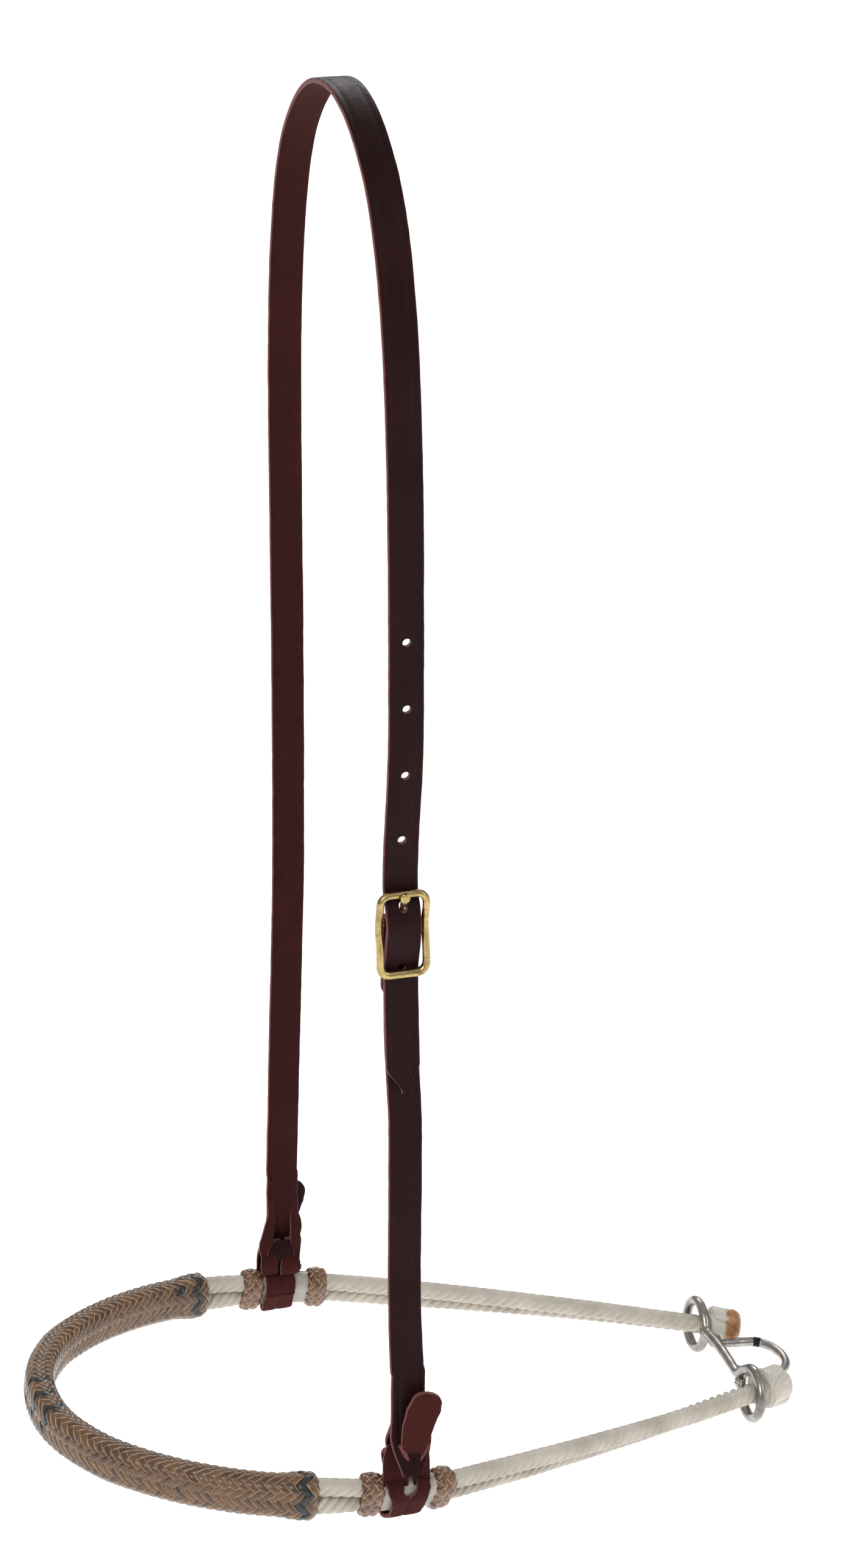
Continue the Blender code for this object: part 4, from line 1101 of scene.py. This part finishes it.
crown = strap("crown_strap_leather", crown_rows, STRAP_THICK, STRAP_LOOKS, 1, True, seed=3, fray=0.008)

bar_y = BAR_CENTRE[1]
around_bar = 2.55 * MM
line = [(bar_y + 4.4 * MM, bar_z - 34 * MM), (bar_y + 4.4 * MM, bar_z - 20 * MM)]
line.append((bar_y + 3.4 * MM, bar_z - 9 * MM))
for a in np.linspace(-0.3, math.pi + 0.3, 9):
    line.append((bar_y + around_bar * math.cos(a), bar_z + around_bar * math.sin(a)))
line += [
    (bar_y - 0.1 * MM, bar_z - 10 * MM),
    (plane + 5.5 * MM, BUCKLE_BOTTOM + 0.5 * MM),
    (plane + 5.45 * MM, BUCKLE_BOTTOM - 9 * MM),
    (plane + 4.1 * MM, BUCKLE_BOTTOM - 30 * MM),
    (plane + 2.6 * MM, BILLET_TIP - 2 * MM),
    (-78.6 * MM, -388 * MM),
    (-80.8 * MM, -430 * MM),
]
line = flat_rows(line, STRAP_WIDTH - 0.3 * MM) + [knot_row(-1, row) for row in KNOT_BODY]
cheek_rows = smooth_curve(line, 16)
top_row = int(np.argmax(cheek_rows[:, 2]))
z = cheek_rows[:, 2]
drift = LOOP_CENTRE[0] * ramp(-z, 300 * MM, 446 * MM) - 1.4 * MM * ramp(z, -360 * MM, -320 * MM)
cheek_rows[:, 0] = np.where(z < -455 * MM, cheek_rows[:, 0], drift)
taper = ramp(z, bar_z - 36 * MM, bar_z - 26 * MM)
cheek_rows[:top_row, 3] *= np.maximum(0.5, taper[:top_row])
cheek = strap("cheek_strap_leather", cheek_rows, STRAP_THICK, STRAP_LOOKS, -1, True, seed=9, fray=0.009)


def cut(obj, cutter_mesh):
    """Cuts holes through a piece and keeps the result as its mesh."""
    cutter = add_to_scene("cutter", cutter_mesh)
    for look in STRAP_LOOKS:
        cutter_mesh.materials.append(look)
    cutter_mesh.polygons.foreach_set("material_index", np.full(len(cutter_mesh.polygons), 2, np.int32))
    made = obj.modifiers.new("holes", "BOOLEAN")
    made.operation = "DIFFERENCE"
    made.solver = "EXACT"
    made.object = cutter
    graph = bpy.context.evaluated_depsgraph_get()
    cut_mesh = bpy.data.meshes.new_from_object(obj.evaluated_get(graph))
    obj.modifiers.clear()
    obj.data = cut_mesh
    bpy.data.objects.remove(cutter, do_unlink=True)


HOLE_PITCH = 24.2 * MM
HOLE_RADIUS = 1.45 * MM
HOLE_COUNT = 6
holes = bmesh.new()
for number in range(HOLE_COUNT):
    z = bar_z + 7.3 * MM + (HOLE_COUNT - 2 - number) * HOLE_PITCH
    x = BAR_CENTRE[0] * ramp(-z, 200 * MM, -BUCKLE_TOP)
    # The hole in use is drawn out by the tongue
    stretch = Matrix.Diagonal((1.1, 1, 1.45 if number == HOLE_COUNT - 2 else 1, 1))
    place = Matrix.Translation((x, BUCKLE_Y + 1.5 * MM, z))
    bmesh.ops.create_cone(
        holes,
        cap_ends=True,
        segments=28,
        radius1=HOLE_RADIUS,
        radius2=HOLE_RADIUS,
        depth=14 * MM,
        matrix=place @ stretch @ Matrix.Rotation(math.pi / 2, 4, "X"),
    )
hole_mesh = bpy.data.meshes.new("holes")
holes.to_mesh(hole_mesh)
holes.free()
cut(crown, hole_mesh)
slot_mesh = bpy.data.meshes.new("tongue_slot")
slot_work = bmesh.new()
slot_size = Matrix.Diagonal((3.8 * MM, 12 * MM, 9.8 * MM, 1))
slot_place = Matrix.Translation((BAR_CENTRE[0], bar_y, bar_z + 0.4 * MM))
bmesh.ops.create_cube(slot_work, size=1, matrix=slot_place @ slot_size)
slot_work.to_mesh(slot_mesh)
slot_work.free()
cut(cheek, slot_mesh)
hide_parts("crown_strap")
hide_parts("cheek_strap")

# Stitches that hold the turn-back, seen on its inner face
for number in range(5):
    z = bar_z - 20 * MM - number * 2.6 * MM
    x = BAR_CENTRE[0] + 0.8 * MM
    stitch = []
    for t in np.linspace(0, 1, 9):
        stitch.append((x, bar_y + (5.2 + 0.35 * math.sin(math.pi * t)) * MM, z - 1.9 * MM * t))
    name = f"turnback_stitch_{number + 1}"
    run = rod(name, stitch, 0.28 * MM, THREAD, "headstall", sides=10)
    if number == 0:
        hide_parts("turnback_thread")

# --- leather knots ----------------------------------------------------------

RED_LOOKS = (FLESH_RED, GRAIN, EDGE)
FLESH_LOOKS = (GRAIN, FLESH_RED, EDGE)
# The strap's end that sticks out of the knot: as KNOT_BODY, then the direction across it
TAIL = [
    (0.8, 2.6, 15.0, 2.6, 1, 0, 0),
    (0.9, 4.6, 18.5, 7.0, 1, 0.10, -0.05),
    (1.2, 5.6, 23.5, 9.8, 1, 0.12, -0.10),
    (2.0, 6.0, 29.0, 11.2, 0.97, 0.10, -0.22),
    (3.8, 6.3, 35.0, 12.2, 0.94, 0.04, -0.33),
    (5.2, 6.9, 39.4, 12.4, 0.94, 0.0, -0.34),
    (5.9, 7.2, 41.8, 11.3, 0.94, 0.0, -0.34),
    (6.5, 7.5, 43.6, 8.2, 0.94, 0.0, -0.34),
    (6.8, 7.6, 44.5, 3.0, 0.94, 0.0, -0.34),
]
# Raised lips of the slit that the tail comes out of
LIPS = (
    [(-3.6, 4.3, 22.6), (-2.2, 5.4, 19.0), (-0.6, 6.1, 15.6), (0.7, 6.9, 13.0)],
    [(7.0, 4.2, 21.4), (5.0, 5.4, 18.4), (2.7, 6.2, 15.6), (0.7, 6.9, 13.0)],
)
# The loop's edges at shares of the way round: share, left, left inner, right inner, right
LOOP_EDGES = [
    (-0.02, -9.7, -1.2, 1.4, 7.6),
    (0.03, -9.5, -3.2, 2.2, 7.2),
    (0.10, -8.9, -3.3, 1.6, 6.5),
    (0.165, -7.8, -1.5, -1.5, 5.8),
    (0.27, -7.3, -1.5, -1.5, 5.2),
    (0.35, -7.3, -1.7, -1.7, 4.5),
    (0.41, -9.2, -2.5, -2.5, 3.6),
    (0.50, -9.7, -3.6, -3.6, 2.6),
    (0.62, -9.9, -3.6, -3.6, 2.4),
    (0.75, -9.3, -3.4, -3.4, 2.7),
    (0.85, -8.8, -2.8, -2.8, 3.0),
    (0.94, -8.2, -2.6, -2.6, 3.2),
]
# The loop's legs above the ropes: outwards, height, then the same four edges
LEG_TOPS = [
    (0.6, 21.5, -7.6, -1.0, 1.0, 7.6),
    (2.2, 17.5, -9.6, -1.0, 1.0, 8.0),
    (3.4, 13.0, -10.0, -1.0, 1.0, 7.8),
]
# The knot's inner side, as KNOT_BODY: two folds, the strap between them, and the legs beside it
LOBES = (
    (
        (-6.4, -1.6, 17.2, 4.4),
        (-7.2, -4.6, 16.6, 6.2),
        (-7.6, -6.3, 14.0, 7.0),
        (-7.5, -6.0, 11.0, 6.6),
        (-6.9, -3.6, 9.4, 5.2),
    ),
    (
        (1.2, -1.6, 15.8, 5.4),
        (1.5, -4.6, 15.2, 7.4),
        (1.3, -6.3, 12.8, 8.0),
        (0.8, -6.0, 10.2, 7.4),
        (0.3, -3.6, 8.8, 6.0),
    ),
)
THROAT = (
    (-2.4, -3.4, 9.0, 9.0),
    (-2.2, -3.9, 13.0, 11.4),
    (-2.0, -3.8, 18.0, 11.2),
    (-1.9, -3.0, 21.2, 8.6),
    (-1.9, -2.2, 22.8, 3.6),
)
INNER_LEGS = (
    (
        (-4.4, 0.9, 40.0, 2.4),
        (-4.6, 0.2, 33.0, 3.2),
        (-6.6, -1.8, 27.0, 4.4),
        (-8.5, -3.0, 21.0, 4.6),
        (-7.8, -3.4, 15.5, 3.6),
    ),
    (
        (4.8, 0.9, 38.0, 2.2),
        (4.7, 0.2, 32.0, 3.0),
        (4.7, -1.6, 26.5, 4.0),
        (4.4, -2.8, 21.0, 4.0),
        (2.9, -3.2, 15.5, 3.4),
    ),
)
# The near knot's inner pieces are drawn together: share of their place sideways, and a shift
NEAR_INNER = (0.62, 0.4)


def inner_piece(name, side, rows, per_span, thick, looks, seed, step, fray):
    """A strap on the inner side of the knot."""
    share, shift = NEAR_INNER if side < 0 else (1.0, 0.0)
    rows = [knot_row(side, (x * share + shift, *rest)) for x, *rest in rows]
    strap(name, smooth_curve(rows, per_span), thick, looks, side, seed=seed, step=step, fray=fray)


def band(name, rows, thick, seed):
    """A leather sheet between two edge lines, fuzzy side out: rows of (left, right, outward) places."""
    rows = np.array(rows)
    n, columns = len(rows), 11
    left, right, out = rows[:, 0], rows[:, 1], rows[:, 2]
    t = np.linspace(0, 1, columns)
    crown_up = 0.35 * MM * (1 - (2 * t - 1) ** 4)
    left = left + unit(left - right) * wavy(n, 2, 0.22 * MM, seed)[:, None]
    right = right + unit(right - left) * wavy(n, 2, 0.22 * MM, seed + 1)[:, None]
    flat = left[:, None] * (1 - t)[None, :, None] + right[:, None] * t[None, :, None]
    upper = flat + out[:, None] * (thick / 2 + crown_up)[None, :, None]
    lower = (flat - out[:, None] * thick / 2)[:, ::-1]
    ring_of = np.concatenate([upper, lower], axis=1)
    count = 2 * columns
    faces = capped_tube(n, count)
    kinds = ([0] * (columns - 1) + [2] + [1] * (columns - 1) + [2]) * (n - 1) + [2, 2]
    uvs = np.stack([np.tile(np.concatenate([t, t[::-1]]), n), np.repeat(np.arange(n) / 10, count)], 1)
    return piece(name, ring_of.reshape(-1, 3), faces, RED_LOOKS, "headstall", uvs, kinds)


LOOP_HALF = (9.15 * MM, 5.55 * MM)
LOOP_THICK = 1.5 * MM


def knot_loop(side, side_name):
    """The part of the knot that goes round both ropes: two legs that join below a V."""
    middle = index_at(0, side)
    centre, pair, across, _ = (v[0] for v in line_frames(np.array([float(middle)])))
    stations = []
    for out, z, *edges in LEG_TOPS:
        place = np.array([LOOP_CENTRE[0], side * (LOOP_SPREAD + out * MM), LOOP_CENTRE[2] + z * MM])
        stations.append((place, np.array([0, side * 0.9, 0.4]), edges))
    edge_rows = np.array(LOOP_EDGES)
    # The ropes lean outwards on the near side and inwards on the far side
    lean_shift = 0.0 if side < 0 else 0.11
    for share in np.linspace(edge_rows[0, 0], edge_rows[-1, 0], 60):
        edges = [np.interp(share, edge_rows[:, 0], edge_rows[:, k]) for k in range(1, 5)]
        spot, normal = round_pair(np.array([share + lean_shift]), LOOP_HALF)
        place = centre + pair * spot[0, 0] + across * spot[0, 1]
        stations.append((place, pair * normal[0, 0] + across * normal[0, 1], edges))
    for which, (a, b) in (("left", (0, 1)), ("right", (2, 3))):
        rows = []
        for place, out, edges in stations:
            ends = [np.array([LOOP_CENTRE[0] + edges[k] * MM, place[1], place[2]]) for k in (a, b)]
            rows.append((ends[0], ends[1], unit(out)))
        flat = smooth_curve(np.array(rows).reshape(len(rows), 9), 2)
        band(f"knot_loop_{side_name}_{which}", flat.reshape(-1, 3, 3), LOOP_THICK, 70 + side + a)


for side, side_name in ((-1, "near"), (1, "far")):
    name = f"knot_tail_{side_name}"
    tail_rows = smooth_curve([knot_row(side, row) for row in TAIL], 8)
    strap(name, tail_rows, 1.9 * MM, RED_LOOKS, -side, seed=31 + side, step=0.6 * MM, fray=0.03)
    for number, lip in enumerate(LIPS):
        name = f"knot_lip_{side_name}_{number + 1}"
        route = smooth_curve([knot_row(side, row) for row in lip], 8)
        radii = np.linspace(0.95, 0.7, len(route)) * MM
        rod(name, route, radii, EDGE, "headstall", sides=12, ripple=0.06)
    for number, lobe in enumerate(LOBES):
        name = f"knot_fold_{side_name}_{number + 1}"
        inner_piece(name, side, lobe, 10, 1.9 * MM, FLESH_LOOKS, 51 + number, 0.5 * MM, 0.04)
    name = f"knot_throat_{side_name}"
    inner_piece(name, side, THROAT, 8, 1.8 * MM, STRAP_LOOKS, 61 + side, 0.6 * MM, 0.02)
    for number, leg in enumerate(INNER_LEGS):
        name = f"knot_leg_{side_name}_{number + 1}"
        inner_piece(name, side, leg, 8, 2.0 * MM, FLESH_LOOKS, 81 + number, 0.6 * MM, 0.04)
    knot_loop(side, side_name)

# --- stage ------------------------------------------------------------------

FLOOR_BELOW = 0.30
FLOOR_REACH = 20
floor_z = cad_box[0][2] - FLOOR_BELOW
floor_look = Look("studio_floor", Roughness=0.9, Specular_IOR_Level=0.1, Emission_Strength=0.62)
floor_look.shader.inputs["Emission Color"].default_value = (1, 1, 1, 1)
clouds = floor_look.spread(floor_look.noise(2.0), 0.3, 0.7)
floor_colour = floor_look.mix(clouds, (0.90, 0.90, 0.90), (0.93, 0.93, 0.93))
floor_mesh = bpy.data.meshes.new("floor")
corners = [(x * FLOOR_REACH, y * FLOOR_REACH, floor_z) for x, y in ((-1, -1), (1, -1), (1, 1), (-1, 1))]
floor_mesh.from_pydata(corners, [], [(0, 1, 2, 3)])
floor_mesh.materials.append(floor_look.finish(floor_colour))
floor = add_to_scene("floor", floor_mesh)

middle = (0.0, 0.0, -0.27)
area_light("key", (-1.3, -1.6, 1.1), middle, (0.9, 0.9), 19)
area_light("fill", (1.6, -1.2, 0.5), middle, (0.5, 1.6), 7)
area_light("back", (0.6, 1.8, 1.0), middle, (0.9, 0.9), 10)
world = bpy.data.worlds.new("studio")
bpy.context.scene.world = world
world.use_nodes = True
tree = world.node_tree
background = tree.nodes["Background"]
coordinates = tree.nodes.new("ShaderNodeTexCoord")
split = tree.nodes.new("ShaderNodeSeparateXYZ")
fade = tree.nodes.new("ShaderNodeMapRange")
# Dim light from below and at the horizon, brighter from above
for socket, value in zip(("From Min", "From Max", "To Min", "To Max"), (-0.15, 0.55, 0.03, 0.60)):
    fade.inputs[socket].default_value = value
tree.links.new(coordinates.outputs["Generated"], split.inputs[0])
tree.links.new(split.outputs["Z"], fade.inputs["Value"])
tree.links.new(fade.outputs[0], background.inputs["Strength"])
background.inputs["Color"].default_value = (1, 1, 1, 1)
